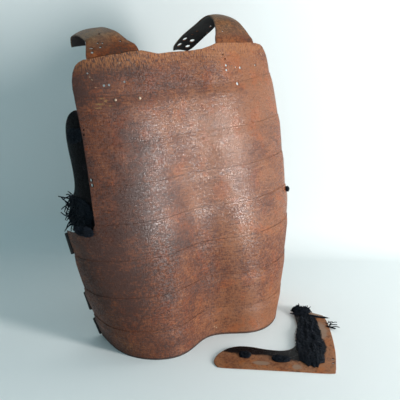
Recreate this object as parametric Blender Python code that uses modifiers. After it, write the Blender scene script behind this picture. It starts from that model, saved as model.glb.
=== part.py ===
"""Back plate of a riveted-lame iron cuirass, standing on its bottom rim.

Metres, +Z up. The wearer faces +Y, so the back of the plate faces -Y, and +X is the wearer's right.
The origin is on the underside of the rim, at the middle of its wall, in the plane of symmetry.
"""
import math
import random

import bmesh
import bpy
import numpy as np
from mathutils import Matrix, Vector

# Driving dimensions
WALL = 0.0016
STRAP_WALL = 0.0018
SEAM_GAP = 0.0003
LAP = 0.010
STRAP_LAP = 0.032
STEP = (WALL + SEAM_GAP) / 2
NECK_HEIGHT = 0.4055
ARMHOLE_LEFT = 0.159
ARMHOLE_RIGHT = 0.167
ARMHOLE_FLOOR = 0.180
ARMHOLE_FILLET = 0.014
LEAN_OF_SIDE = 0.26
# The box that trims the rim level with the floor
FLOOR_CUT_CENTRE = Vector((0.0, 0.05, -0.02))
FLOOR_CUT_SIZE = Vector((0.6, 0.6, 0.04))

# Plan of the body at each height: a flattened oval with a soft groove down the spine
SECTION_COLUMNS = ("height", "half_width", "depth", "side_y", "groove", "front_edge_y")
SECTIONS = (
    (0.000, 0.138, 0.1080, 0.0670, 0.0410, 0.0820),
    (0.050, 0.156, 0.1030, 0.0760, 0.0340, 0.0770),
    (0.100, 0.171, 0.0980, 0.0860, 0.0275, 0.0720),
    (0.150, 0.183, 0.0930, 0.0980, 0.0220, 0.0750),
    (0.200, 0.190, 0.0885, 0.1110, 0.0175, 0.0900),
    (0.300, 0.186, 0.0820, 0.1310, 0.0115, 0.1000),
    (0.400, 0.174, 0.0690, 0.1600, 0.0090, 0.1000),
)
OVAL_POWER = 0.70
GROOVE_WIDTH = 0.053

# Lames from the neck down: name, height of the upper edge, what bounds its ends
LAMES = (
    ("lame_1_neck", NECK_HEIGHT, "armhole"),
    ("lame_2", 0.358, "armhole"),
    ("lame_3", 0.299, "armhole"),
    ("lame_4", 0.244, "armhole"),
    ("lame_5_side", 0.193, "side"),
    ("lame_6_side", 0.144, "side"),
    ("lame_7_side", 0.092, "side"),
    ("lame_8_rim", 0.043, "side"),
)
ARMHOLE_COLUMNS = 56
SIDE_COLUMNS = 68

# Upper edge of the neck lame as distance from the spine and height: neck, strap lug, shoulder corner
NECK_EDGE = (
    (0.000, 0.4055), (0.035, 0.4060), (0.050, 0.4095), (0.060, 0.4125), (0.080, 0.4115),
    (0.120, 0.4075), (0.140, 0.4042), (0.1465, 0.4010), (0.1510, 0.3965), (0.1550, 0.3880),
    (0.1575, 0.3790), (ARMHOLE_LEFT, 0.3670),
)
SHOULDER_CORNER_X = 0.140

# Shoulder straps above the neck lame: each row is x, y, z of the neck-side edge, then of the shoulder side
STRAP_RISE = (
    (0.0650, 0.1090, 0.4185, 0.1350, 0.1160, 0.4090),
    (0.0720, 0.1190, 0.4240, 0.1330, 0.1200, 0.4140),
    (0.0795, 0.1330, 0.4325, 0.1290, 0.1290, 0.4240),
)
STRAP_RIGHT = STRAP_RISE + (
    (0.0825, 0.1440, 0.4395, 0.1230, 0.1400, 0.4340),
    (0.0830, 0.1570, 0.4420, 0.1175, 0.1600, 0.4385),
    (0.0815, 0.1700, 0.4365, 0.1165, 0.1760, 0.4315),
    (0.0800, 0.1860, 0.4260, 0.1160, 0.1920, 0.4170),
    (0.0795, 0.2090, 0.4125, 0.1140, 0.2110, 0.4030),
    (0.0780, 0.2280, 0.3995, 0.1120, 0.2270, 0.3910),
    (0.0755, 0.2440, 0.3840, 0.1090, 0.2430, 0.3785),
    (0.0790, 0.2530, 0.3750, 0.1040, 0.2520, 0.3720),
)
STRAP_LEFT = STRAP_RISE + (
    (0.0835, 0.1470, 0.4350, 0.1270, 0.1420, 0.4260),
    (0.0850, 0.1650, 0.4350, 0.1240, 0.1600, 0.4265),
    (0.0860, 0.1850, 0.4315, 0.1210, 0.1800, 0.4245),
    (0.0880, 0.2050, 0.4265, 0.1190, 0.1950, 0.4210),
    (0.0900, 0.2170, 0.4190, 0.1180, 0.2035, 0.4170),
    (0.0905, 0.2190, 0.4100, 0.1180, 0.2035, 0.4100),
    (0.0900, 0.2180, 0.4020, 0.1180, 0.2010, 0.4045),
)
# Depths of the tucked rows below the neck lame's upper edge, and how far they spread past the first free row
STRAP_TUCK = (0.024, 0.014, 0.004)
STRAP_FOOT_SPREAD = (0.003, 0.001)
STRAP_CAMBER = 0.0022
STRAP_LEVELS = 20
STRAP_STRIPS = 8
STRAP_SEAT_GAP = 0.0006
# Cord holes near the front end of the right strap: share along the strap, share across it
CORD_HOLES = ((0.858, 0.29), (0.861, 0.69), (0.912, 0.26), (0.921, 0.74))
CORD_HOLE_LENGTH = 0.0080
CORD_HOLE_WIDTH = 0.0064

# Underarm plate, cut flat: u runs up its long rounded arm, v along its short square arm
PLATE_WALL = 0.0016
PLATE_OUTLINE = (
    (0.006, 0.000), (0.060, 0.000), (0.110, 0.000), (0.156, 0.000), (0.164, 0.004), (0.168, 0.014),
    (0.164, 0.028), (0.157, 0.038), (0.147, 0.047), (0.132, 0.0525), (0.115, 0.0520), (0.098, 0.0485),
    (0.080, 0.0465), (0.068, 0.0475), (0.058, 0.0530), (0.051, 0.0640), (0.047, 0.0800), (0.046, 0.1000),
    (0.0475, 0.130), (0.051, 0.160), (0.052, 0.170), (0.045, 0.172), (0.010, 0.160), (0.004, 0.154),
    (-0.001, 0.130), (-0.004, 0.095), (-0.005, 0.055), (-0.003, 0.025), (-0.001, 0.006),
)
PLATE_CUT_SPACING = 0.012
# The plate that hangs in the left armhole
WORN_FOOT_HEIGHT = 0.180
WORN_START = (-0.1510, -0.0013)
WORN_BOW = 0.010
WORN_TURN_START = 0.045
WORN_TURN_RADIUS = 0.105
# The plate that lies on the floor beside the right side
LOOSE_CORNER = Vector((0.0933, -0.1700, 0.0))
LOOSE_HEADING = math.radians(144.1)
LOOSE_DISH = 0.0025

# Hinges along the left front edge: name, lower and upper height, depth of the leaf inside the lame
HINGES = (
    ("hinge_upper", 0.147, 0.176, 0.0022),
    ("hinge_middle", 0.050, 0.0805, 0.0022),
    ("hinge_lower", 0.003, 0.0315, 0.0012),
)
HINGE_REACH = math.radians(6)
KNUCKLE_RADIUS = 0.0027
KNUCKLE_SEGMENTS = 18
PIN_BORE_RADIUS = 0.0011
PIN_BORE_SEGMENTS = 8
LEAF_LENGTH = 0.013
LEAF_WALL = 0.0012
LEAF_RUN_OUT = 0.0022

# Lacing
LACE_GAP = 0.0003
LUMP_EDGE_DROP = 0.4
LUMP_CORNER_DRAW = 0.22
LUMP_UNEVENNESS = 0.12
FRINGE_ROOT_INSET = 0.0009
FRINGE_JOINTS = 3
FRINGE_TAPER = 0.85
FRINGE_SPLAY = (1.3, 0.5)
FRINGE_BEND = (0.2, 0.1)

# Colours and finishes: name, base colour, roughness, metallic
FINISHES = {
    "russet_iron": ((0.26, 0.095, 0.045), 0.50, 0.55),
    "black_lacquer": ((0.015, 0.013, 0.015), 0.45, 0.10),
    "black_iron": ((0.02, 0.02, 0.022), 0.50, 0.80),
    "navy_lacing": ((0.012, 0.014, 0.028), 0.90, 0.00),
}


def clear_scene():
    for thing in list(bpy.data.objects):
        bpy.data.objects.remove(thing, do_unlink=True)


def make_collection(name):
    collection = bpy.data.collections.new(name)
    bpy.context.scene.collection.children.link(collection)
    return collection


def add_material(thing, finish):
    """A Principled material of the thing's own, in the colours of the finish."""
    colour, roughness, metallic = FINISHES[finish]
    material = bpy.data.materials.new(thing.name + "_" + finish)
    material.use_nodes = True
    shader = material.node_tree.nodes["Principled BSDF"]
    shader.inputs["Base Color"].default_value = (*colour, 1.0)
    shader.inputs["Roughness"].default_value = roughness
    shader.inputs["Metallic"].default_value = metallic
    thing.data.materials.append(material)


def add_object(collection, name, data, finish):
    thing = bpy.data.objects.new(name, data)
    collection.objects.link(thing)
    if finish:
        add_material(thing, finish)
    return thing


def mesh_from_bmesh(name, bm):
    bmesh.ops.recalc_face_normals(bm, faces=bm.faces)
    if all(edge.is_manifold for edge in bm.edges) and bm.calc_volume(signed=True) < 0:
        bmesh.ops.reverse_faces(bm, faces=bm.faces)
    mesh = bpy.data.meshes.new(name)
    bm.to_mesh(mesh)
    bm.free()
    mesh.shade_smooth()
    mesh.set_sharp_from_angle(angle=math.radians(40))
    return mesh


def section_value(column, height):
    """The table's column at a height, as a smooth cubic through the rows."""
    heights = np.array([row[0] for row in SECTIONS])
    values = np.array([row[SECTION_COLUMNS.index(column)] for row in SECTIONS])
    slopes = np.gradient(values, heights)
    k = int(np.clip(np.searchsorted(heights, height) - 1, 0, len(heights) - 2))
    span = heights[k + 1] - heights[k]
    t = min(max((height - heights[k]) / span, 0.0), 1.0)
    beyond = height - (heights[k] + t * span)
    start = (2 * t**3 - 3 * t**2 + 1) * values[k] + (t**3 - 2 * t**2 + t) * span * slopes[k]
    end = (3 * t**2 - 2 * t**3) * values[k + 1] + (t**3 - t**2) * span * slopes[k + 1]
    return start + end + beyond * slopes[k + (1 if t > 0 else 0)]


def plan_xy(angle, height):
    """Plan of the body at a height, at an angle from the spine; also takes an array of angles."""
    half_width = section_value("half_width", height)
    depth = section_value("depth", height)
    side_y = section_value("side_y", height)
    groove = section_value("groove", height)
    x = half_width * np.sin(angle)
    turn = np.cos(angle)
    y = side_y - depth * np.sign(turn) * np.abs(turn)**OVAL_POWER
    return x, y + groove * np.exp(-(x / GROOVE_WIDTH)**2)


def body_point(angle, height, outward=0.0):
    """A point of the body's surface, moved outward level with the floor by a true wall distance."""
    small = 1e-3
    x, y = plan_xy(angle, height)
    x_on, y_on = plan_xy(angle + small, height)
    x_up, y_up = plan_xy(angle, height + small)
    along = Vector((x_on - x, y_on - y, 0.0))
    up = Vector((x_up - x, y_up - y, small))
    normal = along.cross(up).normalized()
    level = Vector((normal.x, normal.y, 0.0))
    return Vector((x, y, height)) + level * (outward / level.length_squared)


def angle_at_x(x, height):
    return math.asin(x / section_value("half_width", height))


def front_angle(height):
    """Angle at which the side ends, at the front edge that carries the hinges."""
    reach = section_value("side_y", height) - section_value("front_edge_y", height)
    turn = math.copysign((abs(reach) / section_value("depth", height))**(1 / OVAL_POWER), reach)
    return math.acos(turn)


def end_angles(ends, height):
    """Angles of the two ends of a lame; the right armhole is cut a little further out."""
    if ends == "side":
        return -front_angle(height), front_angle(height)
    return angle_at_x(-ARMHOLE_LEFT, height), angle_at_x(ARMHOLE_RIGHT, height)


def column_angles(ends, height, columns):
    """Angles that part the plan curve from end to end into equal lengths."""
    dense = np.linspace(*end_angles(ends, height), 361)
    x, y = plan_xy(dense, height)
    run = np.concatenate(([0.0], np.cumsum(np.hypot(np.diff(x), np.diff(y)))))
    return np.interp(np.linspace(0.0, run[-1], columns + 1), run, dense)


def neck_edge_height(x):
    """Height of the neck lame's upper edge; the shoulder corner keeps its shape on the wider side."""
    armhole = ARMHOLE_LEFT if x < 0 else ARMHOLE_RIGHT
    beyond = abs(x) - SHOULDER_CORNER_X
    if beyond > 0:
        beyond *= (ARMHOLE_LEFT - SHOULDER_CORNER_X) / (armhole - SHOULDER_CORNER_X)
    xs, heights = zip(*NECK_EDGE)
    return float(np.interp(SHOULDER_CORNER_X + beyond, xs, heights))


def upper_edge(name, top, angle):
    """Height of a lame's upper edge at an angle of the plan."""
    if name == "lame_1_neck":
        return neck_edge_height(float(plan_xy(angle, top)[0]))
    if name != "lame_5_side":
        return top
    start = angle_at_x(ARMHOLE_LEFT if angle < 0 else ARMHOLE_RIGHT, ARMHOLE_FLOOR)
    if abs(angle) <= start:
        return top
    a, b = plan_xy(start, ARMHOLE_FLOOR), plan_xy(abs(angle), ARMHOLE_FLOOR)
    run = min(math.hypot(b[0] - a[0], b[1] - a[1]), ARMHOLE_FILLET)
    drop = math.sqrt(ARMHOLE_FILLET**2 - (ARMHOLE_FILLET - run)**2)
    return top - drop * (top - ARMHOLE_FLOOR) / ARMHOLE_FILLET


def lame_levels(bottom, lower, edge):
    """Heights up one column of a lame, from its hidden lower edge to its upper edge."""
    upper = max(edge - LAP, lower + 0.6 * (edge - lower))
    return bottom, lower, 0.5 * (lower + upper), upper, edge


def build_lame(index, collection, cutters):
    """One lame: its lower edge lies inside the next lame, its upper edge outside the one before."""
    name, top, ends = LAMES[index]
    is_last = index == len(LAMES) - 1
    bottom = -2 * WALL if is_last else LAMES[index + 1][1] - LAP
    lower = LAP if is_last else bottom + LAP + 4 * SEAM_GAP
    inner = 0.0 if is_last else -STEP
    lap_above = STRAP_LAP if index == 0 else LAP
    columns = SIDE_COLUMNS if ends == "side" else ARMHOLE_COLUMNS
    bm = bmesh.new()
    stacks = []
    for column, top_angle in enumerate(column_angles(ends, top, columns)):
        stack = []
        for height in lame_levels(bottom, lower, upper_edge(name, top, top_angle)):
            angle = column_angles(ends, height, columns)[column]
            outward = float(np.interp(height, (lower, top - lap_above), (inner, STEP)))
            stack.append(bm.verts.new(body_point(angle, height, outward)))
        stacks.append(stack)
    for left, right in zip(stacks, stacks[1:]):
        for k in range(len(left) - 1):
            bm.faces.new((left[k], right[k], right[k + 1], left[k + 1]))
    mesh = bpy.data.meshes.new(name)
    bm.to_mesh(mesh)
    bm.free()
    mesh.shade_smooth()
    lame = add_object(collection, name, mesh, "russet_iron")
    add_wall(lame, WALL)
    if is_last:
        floor = make_box(cutters, "floor_cutter", FLOOR_CUT_CENTRE, FLOOR_CUT_SIZE)
        cut_with(lame, floor)
    return lame


def add_wall(thing, thickness):
    shell = thing.modifiers.new("wall", "SOLIDIFY")
    shell.thickness = thickness
    shell.offset = 0.0
    shell.use_even_offset = True


def make_box(collection, name, centre, size):
    bm = bmesh.new()
    bmesh.ops.create_cube(bm, size=1.0, matrix=Matrix.Translation(centre) @ Matrix.Diagonal((*size, 1.0)))
    box = add_object(collection, name, mesh_from_bmesh(name, bm), None)
    mark_as_cutter(box)
    return box


def mark_as_cutter(thing):
    thing.hide_render = True
    thing.display_type = "WIRE"


def cut_with(thing, cutter):
    cut = thing.modifiers.new(cutter.name, "BOOLEAN")
    cut.operation = "DIFFERENCE"
    cut.solver = "EXACT"
    cut.object = cutter


def strap_rows(free_rows):
    """Edge points of a strap, from its foot inside the neck lame, over the shoulder, to its front end."""
    rows = []
    first = free_rows[0]
    for tuck in STRAP_TUCK:
        pair = []
        for x in (first[0] - STRAP_FOOT_SPREAD[0], first[3] + STRAP_FOOT_SPREAD[1]):
            pair.append((x, neck_edge_height(x) - tuck))
        rows.append(("tucked", pair))
    for row in free_rows:
        rows.append(("free", (Vector(row[:3]), Vector(row[3:]))))
    return rows


def strap_point(rows, row_index, across):
    """A point of one row of a right-hand strap; the tucked rows follow the inside of the neck lame."""
    kind, pair = rows[row_index]
    if kind == "tucked":
        x = pair[0][0] + across * (pair[1][0] - pair[0][0])
        height = pair[0][1] + across * (pair[1][1] - pair[0][1])
        inward = STRAP_WALL / 2 + WALL / 2 - STEP + STRAP_SEAT_GAP
        point = body_point(angle_at_x(x, height), height, -inward)
    else:
        point = pair[0].lerp(pair[1], across)
        crown = STRAP_CAMBER * 4 * across * (1 - across)
        span = pair[1] - pair[0]
        before = rows[max(row_index - 1, len(STRAP_TUCK))][1][0]
        after = rows[min(row_index + 1, len(rows) - 1)][1][0]
        run = after - before
        point = point + span.cross(run).normalized() * crown
    return point


def strap_surface(rows, along, across):
    """A smooth curve through the rows at one share of the width, read at a share of the length."""
    points = [strap_point(rows, i, across) for i in range(len(rows))]
    place = along * (len(points) - 1)
    k = min(int(place), len(points) - 2)
    t = place - k
    p0, p3 = points[max(k - 1, 0)], points[min(k + 2, len(points) - 1)]
    p1, p2 = points[k], points[k + 1]
    if k < len(STRAP_TUCK) - 1:
        return p1.lerp(p2, t)
    return 0.5 * (2 * p1 + (p2 - p0) * t + (2 * p0 - 5 * p1 + 4 * p2 - p3) * t**2
                  + (3 * p1 - p0 - 3 * p2 + p3) * t**3)


def build_strap(name, side, free_rows, collection):
    """A strap as an open surface with a wall; side is 1 for the right, -1 for the left."""
    rows = strap_rows(free_rows)
    bm = bmesh.new()
    grid = []
    for i in range(STRAP_LEVELS + 1):
        line = [strap_surface(rows, i / STRAP_LEVELS, j / STRAP_STRIPS) for j in range(STRAP_STRIPS + 1)]
        line = [Vector((side * point.x, point.y, point.z)) for point in line[::side]]
        grid.append([bm.verts.new(point) for point in line])
    for low, high in zip(grid, grid[1:]):
        for j in range(STRAP_STRIPS):
            bm.faces.new((low[j], low[j + 1], high[j + 1], high[j]))
    mesh = bpy.data.meshes.new(name)
    bm.to_mesh(mesh)
    bm.free()
    mesh.shade_smooth()
    strap = add_object(collection, name, mesh, "russet_iron")
    add_wall(strap, STRAP_WALL)
    return strap, rows


def cut_cord_holes(strap, rows, cutters):
    """Four oval holes for the cord that ties the strap in front."""
    small = 1e-3
    for number, (along, across) in enumerate(CORD_HOLES):
        centre = strap_surface(rows, along, across)
        length = (strap_surface(rows, along + small, across) - centre).normalized()
        width = (strap_surface(rows, along, across + small) - centre).normalized()
        normal = width.cross(length).normalized()
        width = length.cross(normal)
        frame = Matrix((width, length, normal)).transposed().to_4x4()
        bm = bmesh.new()
        bmesh.ops.create_cone(
            bm, segments=12, radius1=0.5, radius2=0.5, depth=8 * STRAP_WALL, cap_ends=True,
            matrix=Matrix.Translation(centre) @ frame
            @ Matrix.Diagonal((CORD_HOLE_WIDTH, CORD_HOLE_LENGTH, 1.0, 1.0)))
        cutter = add_object(cutters, f"cord_hole_{number + 1}", mesh_from_bmesh("cord_hole", bm), None)
        mark_as_cutter(cutter)
        cut_with(strap, cutter)


def plate_blank():
    """The flat underarm plate, cut across at even spacing so that it can be bent."""
    bm = bmesh.new()
    outline = [bm.verts.new((u, v, 0.0)) for u, v in PLATE_OUTLINE]
    bm.faces.new(outline)
    longest = max(max(u, v) for u, v in PLATE_OUTLINE)
    for axis in (Vector((1, 0, 0)), Vector((0, 1, 0))):
        for k in range(int(longest / PLATE_CUT_SPACING) + 1):
            everything = bm.verts[:] + bm.edges[:] + bm.faces[:]
            bmesh.ops.bisect_plane(bm, geom=everything, dist=1e-5, plane_no=axis,
                                   plane_co=axis * (k + 0.5) * PLATE_CUT_SPACING)
    return bm


def smooth_step(low, high, value):
    t = min(max((value - low) / (high - low), 0.0), 1.0)
    return t * t * (3 - 2 * t)


def worn_plate_point(u, v, outward=0.0):
    """A point of the underarm plate in the left armhole: upright along u, forward along v."""
    foot = WORN_FOOT_HEIGHT + u * math.cos(LEAN_OF_SIDE)
    back_y = float(plan_xy(angle_at_x(ARMHOLE_LEFT, foot), foot)[1])
    forward = max(v, 0.0)
    turned = max(forward - WORN_TURN_START, 0.0)
    turn = turned / WORN_TURN_RADIUS
    x = WORN_START[0] - WORN_BOW * math.sin(min(forward / WORN_TURN_START, 1.0) * math.pi / 2)
    y = back_y + WORN_START[1] + (forward - turned) * math.cos(LEAN_OF_SIDE) + min(v, 0.0)
    x += WORN_TURN_RADIUS * (1 - math.cos(turn))
    y += WORN_TURN_RADIUS * math.sin(turn)
    z = foot - v * math.sin(LEAN_OF_SIDE)
    normal = Vector((-math.cos(turn), math.sin(turn), 0.0))
    return Vector((x, y, z)) + normal * outward


def loose_plate_point(u, v, height=0.0):
    """A point over the plate that lies on the floor; the plate is slightly dished."""
    long_way = Vector((math.cos(LOOSE_HEADING), math.sin(LOOSE_HEADING), 0.0))
    short_way = Vector((long_way.y, -long_way.x, 0.0))
    dish = LOOSE_DISH * smooth_step(0.0, 0.060, min(u, v))
    return LOOSE_CORNER + long_way * u + short_way * v + Vector((0.0, 0.0, dish + height))


def build_plate(name, place, collection):
    bm = plate_blank()
    for vert in bm.verts:
        vert.co = place(vert.co.x, vert.co.y)
    mesh = mesh_from_bmesh(name, bm)
    plate = add_object(collection, name, mesh, "black_lacquer")
    add_wall(plate, PLATE_WALL)
    return plate


def ring_points(centre, radius, segments, start):
    angles = [start + math.tau * k / segments for k in range(segments)]
    return [(centre[0] + radius * math.cos(a), centre[1] + radius * math.sin(a)) for a in angles]


def build_hinge(name, low, high, inset, collection):
    """One knuckle with its leaf inside the left front edge, drawn in plan and extruded."""
    foot = body_point(-front_angle(low), low)
    head = body_point(-front_angle(high), high)
    middle = 0.5 * (low + high)
    edge = body_point(-front_angle(middle), middle)
    back = body_point(HINGE_REACH - front_angle(middle), middle)
    axis = (head - foot).normalized()
    leafward = (back - edge)
    leafward = (leafward - axis * leafward.dot(axis)).normalized()
    inward = axis.cross(leafward)
    if inward.x < 0:
        inward = -inward
    frame = Matrix((leafward, inward, leafward.cross(inward))).transposed().to_4x4()
    knuckle = (-KNUCKLE_RADIUS - WALL, inset + LEAF_WALL - KNUCKLE_RADIUS)
    outer = ring_points(knuckle, KNUCKLE_RADIUS, KNUCKLE_SEGMENTS, math.pi / 2)
    outer = [(x, y) for x, y in outer if x <= knuckle[0] + SEAM_GAP or y < inset - SEAM_GAP]
    outer += [(knuckle[0] + LEAF_RUN_OUT, inset), (LEAF_LENGTH, inset), (LEAF_LENGTH, inset + LEAF_WALL)]
    bore = ring_points(knuckle, PIN_BORE_RADIUS, PIN_BORE_SEGMENTS, 0.0)
    curve = bpy.data.curves.new(name, "CURVE")
    curve.dimensions = "2D"
    curve.fill_mode = "BOTH"
    curve.extrude = (head - foot).length / 2
    for ring in (outer, bore):
        spline = curve.splines.new("POLY")
        spline.points.add(len(ring) - 1)
        for point, (x, y) in zip(spline.points, ring):
            point.co = (x, y, 0.0, 1.0)
        spline.use_cyclic_u = True
    hinge = add_object(collection, name, curve, "black_iron")
    hinge.matrix_world = Matrix.Translation(edge) @ frame
    return hinge


def build_lump(name, place, size, cuts, seed, collection):
    """A matted lump of lace, its size along u, along v and in height, rounded and uneven on top."""
    rng = random.Random(seed)
    phases = [rng.uniform(0, math.tau) for _ in range(4)]
    bm = bmesh.new()
    bmesh.ops.create_cube(bm, size=2.0)
    bmesh.ops.subdivide_edges(bm, edges=bm.edges[:], cuts=cuts, use_grid_fill=True)
    for vert in bm.verts:
        a, b, c = vert.co
        bumps = math.sin(5 * a + phases[0]) * math.sin(6 * b + phases[1])
        bumps += 0.6 * math.sin(9 * b + phases[2]) * math.cos(8 * a + phases[3])
        crown = (1 - LUMP_EDGE_DROP * a**4) * (1 - LUMP_EDGE_DROP * b**4) * (1 + LUMP_UNEVENNESS * bumps)
        across = 0.5 * size[0] * a * (1 - LUMP_CORNER_DRAW * b * b)
        along = 0.5 * size[1] * b * (1 - LUMP_CORNER_DRAW * a * a)
        vert.co = place(across, along, 0.5 * size[2] * (c + 1) * crown)
    add_object(collection, name, mesh_from_bmesh(name, bm), "navy_lacing")


def build_fringe(name, place, size, strands, lengths, seed, collection):
    """Frayed lace ends: tapering square strands drawn out of the top of a narrow strip."""
    rng = random.Random(seed)
    bm = bmesh.new()
    bmesh.ops.create_grid(bm, x_segments=strands[0], y_segments=strands[1], size=0.5)
    risen = bmesh.ops.extrude_face_region(bm, geom=bm.faces[:], use_keep_orig=True)["geom"]
    for vert in (item for item in risen if isinstance(item, bmesh.types.BMVert)):
        vert.co.z += 1.0
    tops = [item for item in risen if isinstance(item, bmesh.types.BMFace)]
    for vert in bm.verts:
        vert.co = Vector((vert.co.x * size[0], vert.co.y * size[1], vert.co.z * size[2]))
    bmesh.ops.inset_individual(bm, faces=tops, thickness=FRINGE_ROOT_INSET, use_even_offset=True)
    for top in tops:
        centre = top.calc_center_median()
        splay = (FRINGE_SPLAY[0] * centre.x / size[0], FRINGE_SPLAY[1] * centre.y / size[1])
        out = Vector((*splay, 1.0)).normalized()
        step = out * rng.uniform(*lengths) / FRINGE_JOINTS
        sway = [rng.uniform(-limit, limit) for limit in FRINGE_BEND]
        bend = Vector((*sway, 0.0)) * step.length
        end = top
        for joint in range(FRINGE_JOINTS):
            end = bmesh.ops.extrude_discrete_faces(bm, faces=[end])["faces"][0]
            middle = end.calc_center_median()
            for vert in end.verts:
                vert.co = middle + (vert.co - middle) * FRINGE_TAPER + step + bend * joint
    for vert in bm.verts:
        vert.co = place(*vert.co)
    add_object(collection, name, mesh_from_bmesh(name, bm), "navy_lacing")


def on_worn_plate(u, v):
    """Puts lacing on the outer face of the worn plate, around one point of it."""
    base = PLATE_WALL / 2 + LACE_GAP
    return lambda du, dv, out: worn_plate_point(u + du, v + dv, base + out)


def on_loose_plate(u, v, turn=0.0, spread=0.0):
    """Puts lacing on the loose plate, turned in its plane and spread towards its outer corner."""
    base = PLATE_WALL + LACE_GAP
    c, s = math.cos(turn), math.sin(turn)

    def place(du, dv, up):
        du = du * (1 - spread * dv)
        return loose_plate_point(u + c * du - s * dv, v + s * du + c * dv, base + up)
    return place


def on_body(x, height):
    """Puts lacing on the outer face of the body, around one point of it."""
    base = STEP + WALL / 2 + LACE_GAP
    angle = angle_at_x(x, height)
    here = body_point(angle, height)
    per_metre = math.radians(1) / (body_point(angle + math.radians(1), height) - here).length
    return lambda across, up, out: body_point(angle + across * per_metre, height + up, base + out)


def build_lacing(collection):
    for name, place, size, cuts, seed in (
        ("lace_binding_left", on_worn_plate(0.024, 0.066), (0.042, 0.078, 0.0045), 6, 1),
        ("lace_tie_left", on_body(-0.1715, 0.1725), (0.008, 0.011, 0.0040), 3, 2),
        ("lace_knob_right", on_body(0.1660, 0.1860), (0.007, 0.007, 0.0060), 3, 3),
        ("lace_mat_loose", on_loose_plate(0.029, 0.079, spread=4.0), (0.034, 0.134, 0.0035), 7, 4),
        ("lace_cord_loose", on_loose_plate(0.026, 0.1515, turn=0.06), (0.056, 0.0032, 0.0030), 3, 5),
        ("lace_knot_end_loose", on_loose_plate(0.039, 0.1640), (0.028, 0.017, 0.0090), 4, 6),
        ("lace_knot_tip_loose", on_loose_plate(0.125, 0.0310), (0.016, 0.014, 0.0040), 3, 7),
        ("lace_knot_mid_loose", on_loose_plate(0.080, 0.0270), (0.020, 0.015, 0.0040), 3, 8),
        ("lace_end_loose", on_loose_plate(-0.004, 0.1220, turn=0.5), (0.016, 0.0028, 0.0024), 3, 9),
    ):
        build_lump(name, place, size, cuts, seed, collection)
    build_fringe("lace_fringe_left", on_worn_plate(0.026, 0.1125), (0.046, 0.0100, 0.0025),
                 (13, 3), (0.014, 0.026), 10, collection)


def main():
    clear_scene()
    armour = make_collection("cuirass_back_plate")
    cutters = make_collection("cutters")
    for index in range(len(LAMES)):
        build_lame(index, armour, cutters)
    build_strap("strap_left", -1, STRAP_LEFT, armour)
    right, rows = build_strap("strap_right", 1, STRAP_RIGHT, armour)
    cut_cord_holes(right, rows, cutters)
    build_plate("underarm_plate_left", worn_plate_point, armour)
    build_plate("underarm_plate_loose", lambda u, v: loose_plate_point(u, v, PLATE_WALL / 2), armour)
    for name, low, high, inset in HINGES:
        build_hinge(name, low, high, inset, armour)
    build_lacing(armour)


main()
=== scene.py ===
"""Finishes the back plate of a riveted-lame iron cuirass: lames, straps, plates, hinges and lacing.

Metres, +Z up. The wearer faces +Y and +X is the wearer's right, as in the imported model.
"""
import math
import random

import bmesh
import bpy
import numpy as np
from bpy.props import FloatProperty, FloatVectorProperty, IntProperty, PointerProperty
from mathutils import Matrix, Vector, noise


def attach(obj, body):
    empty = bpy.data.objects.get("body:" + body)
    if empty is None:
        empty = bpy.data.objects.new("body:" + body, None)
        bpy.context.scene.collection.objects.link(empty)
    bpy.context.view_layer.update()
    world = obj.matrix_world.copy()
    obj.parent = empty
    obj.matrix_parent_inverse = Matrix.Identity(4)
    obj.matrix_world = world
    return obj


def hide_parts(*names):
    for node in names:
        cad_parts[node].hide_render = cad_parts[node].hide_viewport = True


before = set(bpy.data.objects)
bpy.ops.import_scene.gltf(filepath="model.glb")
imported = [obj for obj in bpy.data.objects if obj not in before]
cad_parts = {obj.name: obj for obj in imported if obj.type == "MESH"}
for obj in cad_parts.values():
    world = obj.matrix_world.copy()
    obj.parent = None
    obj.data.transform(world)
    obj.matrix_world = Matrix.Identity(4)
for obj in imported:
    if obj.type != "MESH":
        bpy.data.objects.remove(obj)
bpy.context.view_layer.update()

bl_info = {
    "name": "Riveted-lame cuirass back plate",
    "version": (1, 0, 0),
    "blender": (4, 5, 0),
    "location": "View3D > Sidebar > Armour",
    "description": "Builds the visible lames, straps, plates, hinges and lacing around the packed model",
    "category": "Object",
}

# Plan of the body at each height: a flattened oval with a soft groove down the spine
SECTION_COLUMNS = ("height", "half_width", "depth", "side_y", "groove", "front_edge_y")
SECTIONS = np.array((
    (0.000, 0.138, 0.1080, 0.0670, 0.0410, 0.0820),
    (0.050, 0.156, 0.1030, 0.0760, 0.0340, 0.0770),
    (0.100, 0.171, 0.0980, 0.0860, 0.0275, 0.0720),
    (0.150, 0.183, 0.0930, 0.0980, 0.0220, 0.0750),
    (0.200, 0.190, 0.0885, 0.1110, 0.0175, 0.0900),
    (0.300, 0.186, 0.0820, 0.1310, 0.0115, 0.1000),
    (0.400, 0.174, 0.0690, 0.1600, 0.0090, 0.1000),
))
OVAL_POWER = 0.70
GROOVE_WIDTH = 0.053

# Lames from the neck down: the node it stands for, its name, height of its upper edge, what bounds its ends
LAMES = (
    ("lame_1_neck", "neck_lame", 0.4055, "armhole"),
    ("lame_2", "second_lame", 0.358, "armhole"),
    ("lame_3", "third_lame", 0.299, "armhole"),
    ("lame_4", "fourth_lame", 0.244, "armhole"),
    ("lame_5_side", "fifth_lame", 0.193, "side"),
    ("lame_6_side", "sixth_lame", 0.144, "side"),
    ("lame_7_side", "seventh_lame", 0.092, "side"),
    ("lame_8_rim", "rim_lame", 0.043, "side"),
)
ARMHOLE_LEFT = 0.159
ARMHOLE_RIGHT = 0.167
ARMHOLE_FLOOR = 0.180
ARMHOLE_FILLET = 0.014
LEAN_OF_SIDE = 0.26
LAP = 0.010
STRAP_LAP = 0.022

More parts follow.
